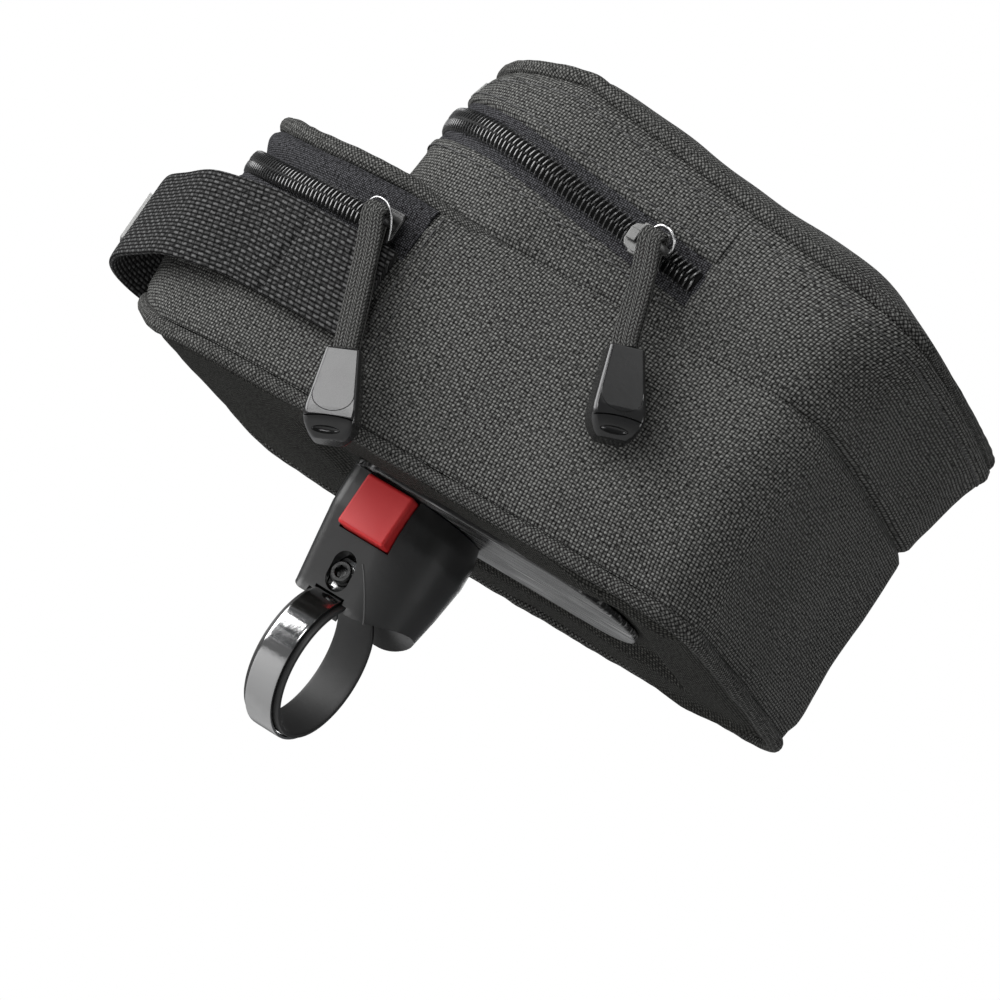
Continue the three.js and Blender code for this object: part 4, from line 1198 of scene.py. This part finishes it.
def evened(fine, samples):
    """As many points as are asked for, at even distances along a fine line."""
    run = running(fine)
    coordinates = np.array([tuple(p) for p in fine])
    wanted = np.linspace(0, run[-1], samples)
    return [Vector([np.interp(w, run, coordinates[:, k]) for k in range(coordinates.shape[1])]) for w in wanted]


half_plan = [Vector((mix(12, STRAP_NOSE, k), side_y(mix(12, STRAP_NOSE, k)) + off, 0)) for k, off in STRAP_PATH]
half_plan += [Vector((mix(12, STRAP_NOSE, k), HALF_WIDTH * y, 0)) for k, y in STRAP_LOOP]
strap_plan = half_plan + [Vector((p.x, -p.y, 0)) for p in reversed(half_plan[:-1])]
strap_line = through(strap_plan, 260)
for p in strap_line:
    p.z = STRAP_Z - 4 * clamp((p.x - 45) / (NOSE_X - 45), 0, 1.4)
strap_frames = frames_along(strap_line, level=True)
OUTWARDS = 1 if strap_frames[130][2].x > 0 else -1
STRAP_SEWN_X = 35.5


def flat_section(count, wide, thick, ease):
    """A flat oval as offsets (out, up), with a small radius at its edges."""
    section = []
    for i in range(count):
        a = 2 * math.pi * i / count
        c, s = math.cos(a), math.sin(a)
        section.append((thick / 2 * math.copysign(abs(c) ** ease, c), wide / 2 * math.copysign(abs(s) ** ease, s)))
    return section


def strap(name, line, wide, thick):
    """A flat band round a level line, closed at its ends."""
    sides = 48
    frames = frames_along(line, level=True)
    lengths = running(line)
    section = flat_section(sides, wide, thick, 0.32)
    girth = running([Vector(offset) for offset in [*section, section[0]]])

    def place(a, b):
        i = round(a * (len(frames) - 1))
        point, _, side, _ = frames[i]
        k = round(b * sides)
        out, high = section[k % sides]
        ripple = 0.25 * noise.noise(Vector((lengths[i] / 16, high / 14, 3)))
        if out * OUTWARDS > 0:
            ripple += OUTWARDS * curl(point.x - STRAP_SEWN_X, 0.8, 0.6)
        return point + side * (out + ripple) + Vector((0, 0, high)), lengths[i], girth[k]

    return closed_up(lay(name, len(frames) - 1, sides, place, around=True))


handle = strap("webbing_strap", strap_line, STRAP_WIDTH, STRAP_THICK)
finished(handle, WEBBING, "webbing", "webbing_handle")
sewn = []
for i in range(1, len(strap_frames)):
    before, (point, _, side, _) = strap_frames[i - 1][0], strap_frames[i]
    if (before.x - STRAP_SEWN_X) * (point.x - STRAP_SEWN_X) > 0:
        continue
    for z in np.arange(-8.6, 8.7, STITCH + STITCH_APART):
        here = point + side * OUTWARDS * (STRAP_THICK / 2 - 0.75) + Vector((0, 0, z))
        sewn.append((stitch_bar, standing(here, here + Vector((0, 0, 1)), side * OUTWARDS, 0.05)))
finished(row_of("strap_stitches", sewn), THREAD, "webbing")
discard(stitch_bar)

# %% [markdown]
# Three places on the front carry a plain pale patch. Each is a thin plate that follows what it lies on.
# A Shrinkwrap could press a flat plate on, but a small grid laid on the same surface needs no modifier.

# %% Patches


def strap_patch_point(a, b):
    i = round(mix(0.44, 0.56, a) * (len(strap_frames) - 1))
    point, _, side, _ = strap_frames[i]
    up_mm = mix(-0.2, 0.34, b) * STRAP_WIDTH
    rounded = 0.25 * max(smooth(0.46, 0.5, abs(a - 0.5)), smooth(0.44, 0.5, abs(b - 0.5)))
    lifted = point + side * OUTWARDS * (STRAP_THICK / 2 + 0.45 - rounded) + Vector((0, 0, up_mm))
    return lifted, a * 26, b * 15


def front_patch_point(a, b):
    s = mix(-4, 4, a)
    x = mid_x(UPPER, s)
    low, high = main_zip_height(x) + MAIN_HALF + GAP, top_height(x)
    point, outwards = skin(UPPER, s, mix(low, high, mix(0.3, 0.85, b)))
    rounded = 0.25 * max(smooth(0.46, 0.5, abs(a - 0.5)), smooth(0.44, 0.5, abs(b - 0.5)))
    return point + outwards * (GAP + 0.75 - rounded), a * 46, b * 10


def lid_patch_point(a, b):
    p = lid_point(mix(-4, 4, a), mix(0.25, 0.75, b), GAP + 0.5)
    return p, a * 40, b * 18


for name, point_at, node in (
    ("strap_plate", strap_patch_point, "strap_patch"),
    ("front_plate", front_patch_point, "front_patch"),
    ("lid_plate", lid_patch_point, "lid_patch"),
):
    plate = lay(name, 60, 24, point_at)
    outer = plate.data.polygons[len(plate.data.polygons) // 2]
    if outer.normal.dot(Vector((1, 0, 0.5))) < 0:
        flipped(plate)
    thicken(plate, 0.7)
    finished(plate, PATCH_GREY, "pale_patch", node)

# %% [markdown]
# Each zip pull hangs from its slider: a cord goes under the slider's bail, comes back over it, and both its ends run
# down into a moulded toggle. Slider, cord and toggle are made in the slider's own directions: x back along the zip,
# y up, z out of the bag. One matrix then puts them on the skin.
# They could be modelled in place on the slanting wall, but level directions make every size easy to check.

# %% Pull sizes and places
SLIDER_LONG, SLIDER_HIGH, SLIDER_THICK = 9.0, 7.4, 1.8
BAIL_HIGH, BAIL_WIRE = 3.3, 1.0
CORD_WIDE, CORD_THICK = 5.2, 1.6
TOGGLE_THICK, TOGGLE_REST = 6.8, 1.0
COIL_OUT = 1.3 - 0.25
# Where the slider stands, how far back and down its toggle hangs, the toggle's turn in the side's plane and about its
# own length in degrees, and the bail's place along the slider
PULLS = {
    "front": {
        "body": LOWER, "height": front_zip_height, "x": 20.5,
        "lean": 12, "drop": 27.8, "turn": 25, "roll": 12, "bail": -0.3,
    },
    "main": {
        "body": UPPER, "height": main_zip_height, "x": -33.0,
        "lean": 10.8, "drop": 22, "turn": 27, "roll": 32, "bail": 2.6,
    },
}


def pull_matrix(pull):
    """Where a pull's own directions lie on the bag, in metres."""
    body, z = pull["body"], pull["height"](pull["x"])
    step = 0.0
    while step < HALF_STEPS and mid_x(body, step) > pull["x"]:
        step += 0.05
    out = COIL_OUT + GAP
    here, behind = (point + outwards * out for point, outwards in (skin(body, s, z) for s in (step, step + 0.4)))
    back = behind - here
    back.z = 0
    back.normalize()
    upright = Vector((0, 0, 1))
    return Matrix.Translation(here * MM) @ turned_to(back, upright, back.cross(upright))


def placed(piece, matrix):
    """Puts a piece modelled in a pull's directions on the bag, with its place in its mesh."""
    piece.data.transform(matrix)
    piece.data.update()
    return piece


for name, pull in PULLS.items():
    pull["matrix"] = pull_matrix(pull)
    print(name, "slider at", [round(v, 4) for v in pull["matrix"].translation])

# %% [markdown]
# A slab is a flat outline pushed up to a thickness with its edges eased. Sliders, toggles, the button and the plate
# under the bag all start as one: a filled circle is added, its points are moved to the outline, and it is extruded.
# A scaled cube could do for a box, but not for these outlines.

# %% Slabs


def slab(name, points, thick, ease=0.3, segments=3, sharp=30):
    bpy.ops.object.select_all(action="DESELECT")
    bpy.ops.mesh.primitive_circle_add(vertices=len(points), radius=1, fill_type="NGON")
    piece = bpy.context.object
    piece.name = piece.data.name = name
    for vertex, (x, y) in zip(piece.data.vertices, points):
        vertex.co = (x * MM, y * MM, 0)
    edit_all(piece)
    bpy.ops.mesh.extrude_region_move(TRANSFORM_OT_translate={"value": (0, 0, thick * MM)})
    bpy.ops.mesh.select_all(action="SELECT")
    bpy.ops.mesh.normals_make_consistent(inside=False)
    bpy.ops.object.mode_set(mode="OBJECT")
    modify(
        piece, "BEVEL", width=ease * MM, segments=segments, limit_method="ANGLE",
        angle_limit=math.radians(sharp),
    )
    crisp(piece)
    return piece


def joined(name, *pieces):
    bpy.ops.object.select_all(action="DESELECT")
    for piece in pieces:
        piece.select_set(True)
    bpy.context.view_layer.objects.active = pieces[0]
    bpy.ops.object.join()
    whole = bpy.context.object
    whole.name = whole.data.name = name
    return whole


def cut_with(piece, *tools):
    """Cuts tools out of a piece and removes them."""
    for tool in tools:
        modify(piece, "BOOLEAN", operation="DIFFERENCE", solver="EXACT", object=tool)
    discard(*tools)


SLIDER_OUTLINE = [
    (-0.5, -0.2), (-0.42, -0.36), (-0.12, -0.5), (0.38, -0.5), (0.5, -0.36),
    (0.5, 0.36), (0.38, 0.5), (-0.12, 0.5), (-0.42, 0.36), (-0.5, 0.2),
]


def slider(name, pull):
    """Body with two rails, a raised nose and a bail over it."""
    shape = [(x * SLIDER_LONG, y * SLIDER_HIGH) for x, y in SLIDER_OUTLINE]
    plate = slab("plate", shape, SLIDER_THICK * 0.62, ease=0.32)
    plate.data.transform(Matrix.Translation((0, 0, SLIDER_THICK * 0.38 * MM)))
    rails = []
    for side in (-1, 1):
        rail = slab("rail", [(-2.2, -0.45), (4.1, -0.45), (4.1, 0.45), (-2.2, 0.45)], SLIDER_THICK, ease=0.22)
        rail.data.transform(Matrix.Translation((0, side * (SLIDER_HIGH / 2 - 0.46) * MM, 0)))
        rails.append(rail)
    reach, top, middle = SLIDER_LONG * 0.3, SLIDER_THICK + BAIL_HIGH - BAIL_WIRE / 2, pull["bail"]
    arch = [(-reach - 0.3, 0.9), (-reach - 0.15, 2.2), (-reach + 0.1, 3.2), (-reach + 0.8, top - 0.2), (-1.0, top)]
    arch += [(-x, z) for x, z in reversed(arch)]
    line = through([Vector((x + middle, 0, z)) for x, z in arch], 40)
    bail = roll("bail", line, 0.85, BAIL_WIRE / 2, level=False, sides=16)
    bridge = slab("bridge", [(-3.9, -1.3), (-1.6, -1.3), (-1.6, 1.3), (-3.9, 1.3)], 0.7, ease=0.2)
    bridge.data.transform(Matrix.Translation((0, 0, (SLIDER_THICK + 0.25) * MM)))
    return placed(joined(name, plate, *rails, bail, bridge), pull["matrix"])


for name, pull in PULLS.items():
    paint = SLIDER_PAINT if name == "front" else SLIDER_METAL
    finished(slider(f"{name}_slider", pull), paint, "slider_metal", f"{name}_zip_slider")

# %% [markdown]
# The toggles are glossy mouldings, wider at their lower end, with a flat face, sloping sides, a fine line in the
# shape of a U on the face and an oval hollow in the end.
# They could be cubes cut with planes. Lofting through rows of eight corners gives the slopes directly, and the line
# and the hollow are then cut out with Boolean tools.

# %% Toggles
# Rows along the toggle from its top: distance, half width, height of the face, half width of the face
TOGGLE_ROWS = [
    (0, 3.8, 6.5, 3.35), (13.3, 5.65, 7.2, 5.1), (15.5, 5.6, 7.1, 5.0), (16.8, 5.2, 6.6, 4.6),
    (18.2, 4.4, 5.6, 3.8), (19.4, 3.2, 4.4, 2.7),
]


def toggle(name, pull):
    """A faceted body lofted through a few rows, with a line and a slot cut in its face and a hollow in its end."""
    corners = 8

    def place(a, b):
        down, half, face, flat = TOGGLE_ROWS[round(a * (len(TOGGLE_ROWS) - 1))]
        ring = [
            (flat, face), (half, face - 0.9), (half, 0.8), (half - 0.7, 0.0),
            (0.7 - half, 0.0), (-half, 0.8), (-half, face - 0.9), (-flat, face),
        ]
        x, z = ring[round(b * corners) % corners]
        return Vector((x, -down, z)), x, down

    body = lay("block", len(TOGGLE_ROWS) - 1, corners, place, around=True)
    closed_up(body, smooth_to=None)
    modify(body, "BEVEL", width=0.5 * MM, segments=4, limit_method="ANGLE", angle_limit=math.radians(16))
    bend = [
        (-4.3, -9.6), (-4.3, -11.2), (-3.6, -12.7), (-2.0, -13.8), (0, -14.2), (2.0, -13.8), (3.6, -12.7),
        (4.3, -11.2), (4.3, -9.6),
    ]
    rise = (7.2 - 6.5) / 13.3
    face_line = through([Vector((x, y, 6.5 - y * rise if y > -13.3 else 7.18)) for x, y in bend], 60)
    groove = roll("groove", face_line, 0.09, 0.11, level=False, sides=8)
    slot_line = through([Vector((x, -15.2 - 0.02 * x * x, 7.15)) for x in (-6, -3, 0, 3, 6)], 24)
    slot = roll("slot", slot_line, 0.16, 0.75, sides=10)
    cut_with(body, groove, slot)
    bpy.ops.mesh.primitive_uv_sphere_add(segments=32, ring_count=16, radius=1)
    hollow = bpy.context.object
    hollow.data.transform(
        Matrix.Translation((-0.4 * MM, -17.9 * MM, 5.7 * MM)) @ Matrix.Rotation(-0.75, 4, "X")
        @ Matrix.Diagonal((3.0 * MM, 0.95 * MM, 0.9 * MM, 1))
    )
    cut_with(body, hollow)
    crisp(body, 30)
    angle = math.radians(pull["turn"])
    apart = GAP + 0.1
    hang = Matrix.Translation(
        Vector((pull["lean"] + apart * math.sin(angle), -pull["drop"] - apart * math.cos(angle), TOGGLE_REST)) * MM
    ) @ Matrix.Rotation(angle, 4, "Z")
    axle = Matrix.Translation((0, 0, TOGGLE_THICK / 2 * MM))
    hang = hang @ axle @ Matrix.Rotation(math.radians(pull["roll"]), 4, "Y") @ axle.inverted()
    body.name = body.data.name = name
    return placed(body, pull["matrix"] @ hang)


for name, pull in PULLS.items():
    made = toggle(f"{name}_toggle", pull)
    finished(made, TOGGLE_BLACK, "toggle_plastic", f"{name}_pull_toggle")

# %% [markdown]
# The cord's route passes the places that its solid passes, joined by a centripetal curve, which doesn't overshoot at
# the tight turn over the bail. Its length along the route is printed.
# A curve object with a bevel could be the cord, but a laid mesh keeps the braid's map and the cord's flat section.

# %% Cords


def centripetal(points, samples):
    """A curve through points whose speed follows the square root of the distances, as even samples."""
    ends = [points[0] * 2 - points[1], *points, points[-1] * 2 - points[-2]]
    fine = []
    for i in range(len(points) - 1):
        p = ends[i : i + 4]
        d = [max(1e-4, (p[k + 1] - p[k]).length ** 0.5) for k in range(3)]
        t1 = ((p[1] - p[0]) / d[0] - (p[2] - p[0]) / (d[0] + d[1]) + (p[2] - p[1]) / d[1]) * d[1]
        t2 = ((p[2] - p[1]) / d[1] - (p[3] - p[1]) / (d[1] + d[2]) + (p[3] - p[2]) / d[2]) * d[1]
        fine += cubic(p[1], p[2], t1, t2, i == len(points) - 2)
    return evened(fine, samples)


def cord_points(pull):
    """Where the cord goes: up from the toggle, under the bail, round it, and down again as an upper layer."""
    lean, drop, angle, bail = pull["lean"], pull["drop"], math.radians(pull["turn"]), pull["bail"]
    under = SLIDER_THICK + (BAIL_HIGH - BAIL_WIRE) / 2
    over = SLIDER_THICK + BAIL_HIGH + CORD_THICK / 2 + 0.1
    rest = TOGGLE_REST + TOGGLE_THICK / 2 - 0.3
    layer = CORD_THICK / 2 + 0.2
    dx, dy = 2 * math.sin(angle), 2 * math.cos(angle)
    return [Vector(p) for p in (
        (lean, -drop, rest - layer),
        (lean - dx, dy - drop, rest - layer),
        (mix(bail, lean, 0.55) - 0.2, -drop * 0.55, rest - layer - 0.2),
        (mix(bail, lean, 7 / drop) - 0.4, -7, under + 0.2),
        (mix(bail, lean, 2.6 / drop) - 0.3, -2.6, under - 0.1),
        (bail - 0.1, 0, under - 0.1),
        (bail, 1.3, under + 0.1),
        (bail, 2.2, (under + over) / 2),
        (bail, 1.3, over - 0.1),
        (bail, 0, over),
        (mix(bail, lean, 2.8 / drop), -2.8, over - 0.4),
        (mix(bail, lean, 7.2 / drop) + 0.2, -7.2, rest + layer + 0.3),
        (mix(bail, lean, 0.55), -drop * 0.55, rest + layer),
        (lean - dx, dy - drop, rest + layer),
        (lean, -drop, rest + layer),
    )]


def flat_cord(name, line):
    """A flat oval section led along a line, its width kept level with the zip."""
    frames = []
    for i, point in enumerate(line):
        along = (line[min(i + 1, len(line) - 1)] - line[max(i - 1, 0)]).normalized()
        wide = (Vector((1, 0, 0)) - along * along.x).normalized()
        frames.append((point, wide, along.cross(wide)))
    lengths = running(line)
    sides = 32
    section = flat_section(sides, CORD_WIDE, CORD_THICK, 0.62)
    girth = running([Vector(offset) for offset in [*section, section[0]]])

    def place(a, b):
        i, k = round(a * (len(frames) - 1)), round(b * sides)
        point, wide, out = frames[i]
        high, across = section[k % sides]
        ribbed = 0.12 * abs(math.cos(math.pi * across / 1.44))
        return point + wide * across + out * high * (1 - ribbed), lengths[i], girth[k]

    return closed_up(lay(name, len(frames) - 1, sides, place, around=True))


for name, pull in PULLS.items():
    line = centripetal(cord_points(pull), 170)
    cord = flat_cord(f"{name}_cord", line)
    placed(cord, pull["matrix"])
    route = [pull["matrix"] @ (p * MM) for p in line]
    length = sum((q - p).length for p, q in zip(route, route[1:]))
    finished(cord, CORD, "pull_cord", f"{name}_pull_cord")
    tuple(route[0])
    [tuple(p) for p in route]
    print(name, "cord length", round(length * 1000, 1), "mm")

# %% [markdown]
# The stiff plate under the bag is a moulding with round corners and eased edges; its pale streaks over fine scratches
# are painted reflection. The release button is a square whose broadly rounded edges catch the light.
# Both could be bevelled cubes. A slab with a rounded outline has even corners for the gloss to run round.

# %% Plate and button
PLATE_FRONT_X, PLATE_REAR_X, PLATE_HALF, PLATE_CORNER, PLATE_THICK = 16.0, -57.0, 17.5, 16.0, 1.7
BRACKET_TOP_Z = 39.6


def round_rectangle(x0, x1, y0, y1, radius, steps=16):
    points = []
    for cx, cy, start in ((x1 - radius, y1 - radius, 0), (x0 + radius, y1 - radius, 1),
                          (x0 + radius, y0 + radius, 2), (x1 - radius, y0 + radius, 3)):
        for i in range(steps + 1):
            a = (start + i / steps) * math.pi / 2
            points.append((cx + radius * math.cos(a), cy + radius * math.sin(a)))
    return points


plate_points = round_rectangle(PLATE_REAR_X, PLATE_FRONT_X, -PLATE_HALF, PLATE_HALF, PLATE_CORNER)
base_plate = slab("under_plate", plate_points, PLATE_THICK, ease=0.45, segments=3, sharp=50)
base_plate.data.transform(Matrix.Translation((0, 0, (BRACKET_TOP_Z + GAP) * MM)))
finished(base_plate, PLATE_WITH_PAINTED_SHEEN, "plate_plastic", "base_plate")

BUTTON, BUTTON_Z, BUTTON_FACE_Y, BUTTON_DEEP = 12.4, 33.0, 17.4, 7.5
half = BUTTON / 2
button = slab("red_button", round_rectangle(-half, half, -half, half, 0.7, 5), BUTTON_DEEP, ease=0.95, segments=3)
stand = Matrix.Translation((0, (BUTTON_FACE_Y - BUTTON_DEEP) * MM, BUTTON_Z * MM))
button.data.transform(stand @ Matrix.Rotation(-math.pi / 2, 4, "X"))
finished(button, BUTTON_RED, "button_plastic", "release_button", body="button")

# %% [markdown]
# The bracket is a moulding that flares from a hollow saddle to a flat top. Its rings are laid one over the other, the
# saddle, the screw's slot and the button's pocket are cut out, and the new edges are eased.
# It could be shaped from a cube by moving edges, but rings from a short table follow the flare smoothly.

# %% Bracket
BRACKET_FRONT_X, BRACKET_REAR_X, FOOT_Z = 12.0, -17.5, 4.0
TOP_HALF, FOOT_HALF = 15.4, 10.2
# Share of the height, share of the widening, how far the front and the rear stand out
BRACKET_ROWS = [
    (0, 0, -1.4, 3), (0.25, 0.05, -1.1, 2), (0.5, 0.5, -0.6, 0.8),
    (0.75, 0.92, -0.1, 0), (0.9, 1, 0, 0.4), (1, 1, 0, 1.6),
]
CLAMP_RADIUS, BAND_X = 15.0, 1.2
LINER_IN, LINER_OUT = CLAMP_RADIUS + 0.15, CLAMP_RADIUS + 1.15
BAND_IN, BAND_OUT = LINER_OUT + GAP, LINER_OUT + GAP + 0.7
EAR_Y, EAR_TOP_Z, SCREW_Z = 8.9, 22.2, 18.6
SLOT_HALF = 2.85


def bracket_row(share):
    rows_x = [row[0] for row in BRACKET_ROWS]
    return [float(np.interp(share, rows_x, [row[k] for row in BRACKET_ROWS])) for k in (1, 2, 3)]


def bracket_ring(share):
    """The plan of the bracket at a share of its height: square corners in front, half a circle behind."""
    widen, front_in, rear_in = bracket_row(share)
    wide = mix(FOOT_HALF, TOP_HALF, widen)
    front, rear = BRACKET_FRONT_X + front_in, BRACKET_REAR_X + rear_in
    corner = 3.0
    points = []
    for x, y, radius, first, last, count in (
        (front - corner, wide - corner, corner, 0, math.pi / 2, 9),
        (rear + wide, 0.0, wide, math.pi / 2, 1.5 * math.pi, 49),
        (front - corner, corner - wide, corner, 1.5 * math.pi, 2 * math.pi, 9),
    ):
        points += [(x + radius * math.cos(a), y + radius * math.sin(a)) for a in np.linspace(first, last, count)]
    return points


def bracket_place(a, b):
    ring = bracket_ring(b)
    x, y = ring[round(a * len(ring)) % len(ring)]
    z = mix(FOOT_Z, BRACKET_TOP_Z, b)
    return Vector((x, y, z)), x, z


def rod(name, radius, low, high, axis, centre=(0, 0, 0), vertices=96):
    """A cylinder along X or Y from low to high, for cutting."""
    bpy.ops.object.select_all(action="DESELECT")
    bpy.ops.mesh.primitive_cylinder_add(vertices=vertices, radius=radius * MM, depth=(high - low) * MM)
    tool = bpy.context.object
    tool.name = name
    turn = Matrix.Rotation(math.pi / 2, 4, "Y" if axis == "X" else "X")
    middle = Vector(centre) + (Vector((1, 0, 0)) if axis == "X" else Vector((0, 1, 0))) * (low + high) / 2
    tool.data.transform(Matrix.Translation(middle * MM) @ turn)
    return tool


def block(name, x0, x1, y0, y1, z0, z1):
    bpy.ops.object.select_all(action="DESELECT")
    bpy.ops.mesh.primitive_cube_add(size=1)
    tool = bpy.context.object
    tool.name = name
    size = Matrix.Diagonal(((x1 - x0) * MM, (y1 - y0) * MM, (z1 - z0) * MM, 1))
    tool.data.transform(Matrix.Translation(Vector(((x0 + x1) / 2, (y0 + y1) / 2, (z0 + z1) / 2)) * MM) @ size)
    return tool


bracket = lay("bracket_block", len(bracket_ring(0.5)), 40, bracket_place, around=True)
closed_up(bracket, smooth_to=None)
pocket = half + GAP
cut_with(
    bracket,
    rod("saddle", CLAMP_RADIUS + GAP, -60, 60, "X"),
    rod("liner_seat", LINER_OUT + GAP, BAND_X - 4.8 - GAP, BAND_X + 4.8 + GAP, "X"),
    rod("band_seat", BAND_OUT + GAP, BAND_X - 3.5 - GAP, BAND_X + 3.5 + GAP, "X"),
    block("ear_slot", BAND_X - 3.85, BAND_X + 3.85, -EAR_Y - 0.7, EAR_Y + 0.7, FOOT_Z, EAR_TOP_Z + GAP),
    rod("screw_hole_low", SLOT_HALF, EAR_Y - 1, 60, "Y", (BAND_X, 0, SCREW_Z - 1.6), 48),
    rod("screw_hole_high", SLOT_HALF, EAR_Y - 1, 60, "Y", (BAND_X, 0, SCREW_Z + 1.6), 48),
    block("screw_hole_middle", BAND_X - SLOT_HALF, BAND_X + SLOT_HALF, EAR_Y - 1, 60, SCREW_Z - 1.6, SCREW_Z + 1.6),
    rod("screw_seat", 1.85, -EAR_Y - 2.2, 0, "Y", (BAND_X, 0, SCREW_Z), 32),
    block("button_pocket", -pocket, pocket, BUTTON_FACE_Y - BUTTON_DEEP - 3.5, 60, BUTTON_Z - pocket, 60),
)
modify(
    bracket, "BEVEL", width=0.28 * MM, segments=2, limit_method="ANGLE", angle_limit=math.radians(38),
    use_clamp_overlap=True,
)
crisp(bracket, 30)
finished(bracket, BRACKET_BLACK, "bracket_plastic", "bracket")

# %% [markdown]
# A strip of stainless steel makes a ring under the bracket, lined with a rubber strip, and its two ends turn up into
# ears inside the bracket. A screw with a hexagonal socket draws the ears together; its near-black steel is painted
# shade of the slot it sits in.
# The strip could be a cut cylinder with two plates joined to it. Laid along one line it bends into its ears as a
# real strip does, and the screw is its profile turned round an axis, with a socket of six flats.

# %% Band, rubber and screw


def upright_loop(points):
    """Points given as (y, z) in mm, in the plane through the band's middle."""
    return [Vector((BAND_X, y, z)) for y, z in points]


def flat_strip(name, line, wide, thick, closed):
    """A flat band whose width lies along X, round a line in an upright plane."""
    sides = 24
    section = flat_section(sides, wide, thick, 0.22)
    count = len(line)
    offsets = []
    for i in range(count):
        before = line[i - 1] if i or closed else line[i]
        after = line[(i + 1) % count] if i < count - 1 or closed else line[i]
        along = (after - before).normalized()
        offsets.append(Vector((0, along.z, -along.y)))
    ring = [*line, line[0]] if closed else line
    normals = [*offsets, offsets[0]] if closed else offsets
    run = running(ring)

    def place(a, b):
        i = round(a * (len(ring) - 1))
        k = round(b * sides) % sides
        out, across = section[k]
        return ring[i] + normals[i] * out + Vector((across, 0, 0)), run[i], b * 2 * (wide + thick)

    piece = lay(name, len(ring) - 1, sides, place, around=True, closed_along=closed)
    return closed_up(piece, ends=not closed, smooth_to=40)


band_middle = (BAND_IN + BAND_OUT) / 2
start = math.asin(EAR_Y / band_middle)
round_part = np.linspace(start + 0.04, 2 * math.pi - start - 0.04, 150)
loop = [(EAR_Y, z) for z in np.linspace(EAR_TOP_Z - 0.1, band_middle * math.cos(start) + 1.2, 8)]
loop += [(band_middle * math.sin(a), band_middle * math.cos(a)) for a in round_part]
loop += [(-EAR_Y, z) for z in np.linspace(band_middle * math.cos(start) + 1.2, EAR_TOP_Z - 0.1, 8)]
band = flat_strip("steel_band", upright_loop(loop), 7.0, 0.7, closed=False)
finished(band, BAND_STEEL, "band_steel", "clamp_band")

liner_middle = (LINER_IN + LINER_OUT) / 2
whole_turn = np.linspace(0, 2 * math.pi, 160, endpoint=False)
liner_loop = [(liner_middle * math.sin(a), liner_middle * math.cos(a)) for a in whole_turn]
liner = flat_strip("rubber_liner", upright_loop(liner_loop), 9.6, 1.0, closed=True)
finished(liner, RUBBER, "liner_rubber", "band_liner")

HEAD_Y = EAR_Y + 0.35 + GAP
SCREW_PROFILE = [
    (0, -EAR_Y - 1.6), (1.2, -EAR_Y - 1.6), (1.5, -EAR_Y - 1.3), (1.5, HEAD_Y), (2.3, HEAD_Y), (2.5, HEAD_Y + 0.2),
    (2.5, HEAD_Y + 2.05), (2.15, HEAD_Y + 2.4), (1.5, HEAD_Y + 2.4), (1.32, HEAD_Y + 2.2), (1.3, HEAD_Y + 0.9),
    (0, HEAD_Y + 0.8),
]


def screw_place(a, b):
    k = round(b * (len(SCREW_PROFILE) - 1))
    radius, y = SCREW_PROFILE[k]
    angle = 2 * math.pi * a
    if k in (9, 10):
        within = (angle % (math.pi / 3)) - math.pi / 6
        radius = radius * math.cos(math.pi / 6) / math.cos(within) * 1.08
    return Vector((BAND_X + radius * math.cos(angle), y, SCREW_Z + radius * math.sin(angle))), angle * 3, y


screw = lay("socket_screw", 72, len(SCREW_PROFILE) - 1, screw_place, around=True)
closed_up(screw, ends=False, smooth_to=30)
finished(screw, SCREW_STEEL_SHADED, "screw_steel", "band_screw")

# %% [markdown]
# A fine bright wire goes round the top of each pull's cord, and a thin curved rib stands on the bracket beside the
# screw's slot; the rib's paler grey is a painted highlight along its edge. All are fine rolls laid through a few
# points.
# Bevelled curves would do as well, but the rolls' function is there already.

# %% Fine rolls
ring_points = [
    (-3.6, 1.6, 4.4), (-2.6, 2.9, 5.2), (-1.0, 3.5, 5.8), (1.2, 3.2, 5.9), (3.1, 1.6, 5.2), (4.2, -0.8, 3.8),
    (4.5, -3.0, 2.4),
]
bail_points = [
    (1.6, 2.6, 5.0), (3.0, 3.7, 5.6), (5.2, 3.6, 5.6), (6.9, 2.2, 4.9), (7.0, 0.4, 3.4), (5.6, -0.6, 2.0),
    (4.0, -0.8, 1.2),
]
for name, points, thick in (("front", ring_points, 0.2), ("main", bail_points, 0.3)):
    wire = roll(f"{name}_wire", through([Vector(p) for p in points], 60), thick, thick, level=False, sides=10)
    placed(wire, PULLS[name]["matrix"])
    finished(wire, RING_METAL, "slider_metal")


def bracket_side(x, z):
    """How far the bracket's side stands out at a place."""
    ring = [p for p in bracket_ring((z - FOOT_Z) / (BRACKET_TOP_Z - FOOT_Z)) if p[1] > 0]
    ring.sort()
    return float(np.interp(x, [p[0] for p in ring], [p[1] for p in ring]))


rib_line = through([Vector((x, bracket_side(x, z) - 0.05, z)) for x, z in (
    (-2.6, 22.2), (-3.9, 20.6), (-5.4, 18.4), (-6.9, 15.9), (-8.2, 13.4), (-9.0, 11.6)
)], 50)
rib = roll("bracket_rib_highlight", rib_line, 0.22, 0.22, level=False, sides=10)
finished(rib, RIB_HIGHLIGHT_GREY, "bracket_plastic")
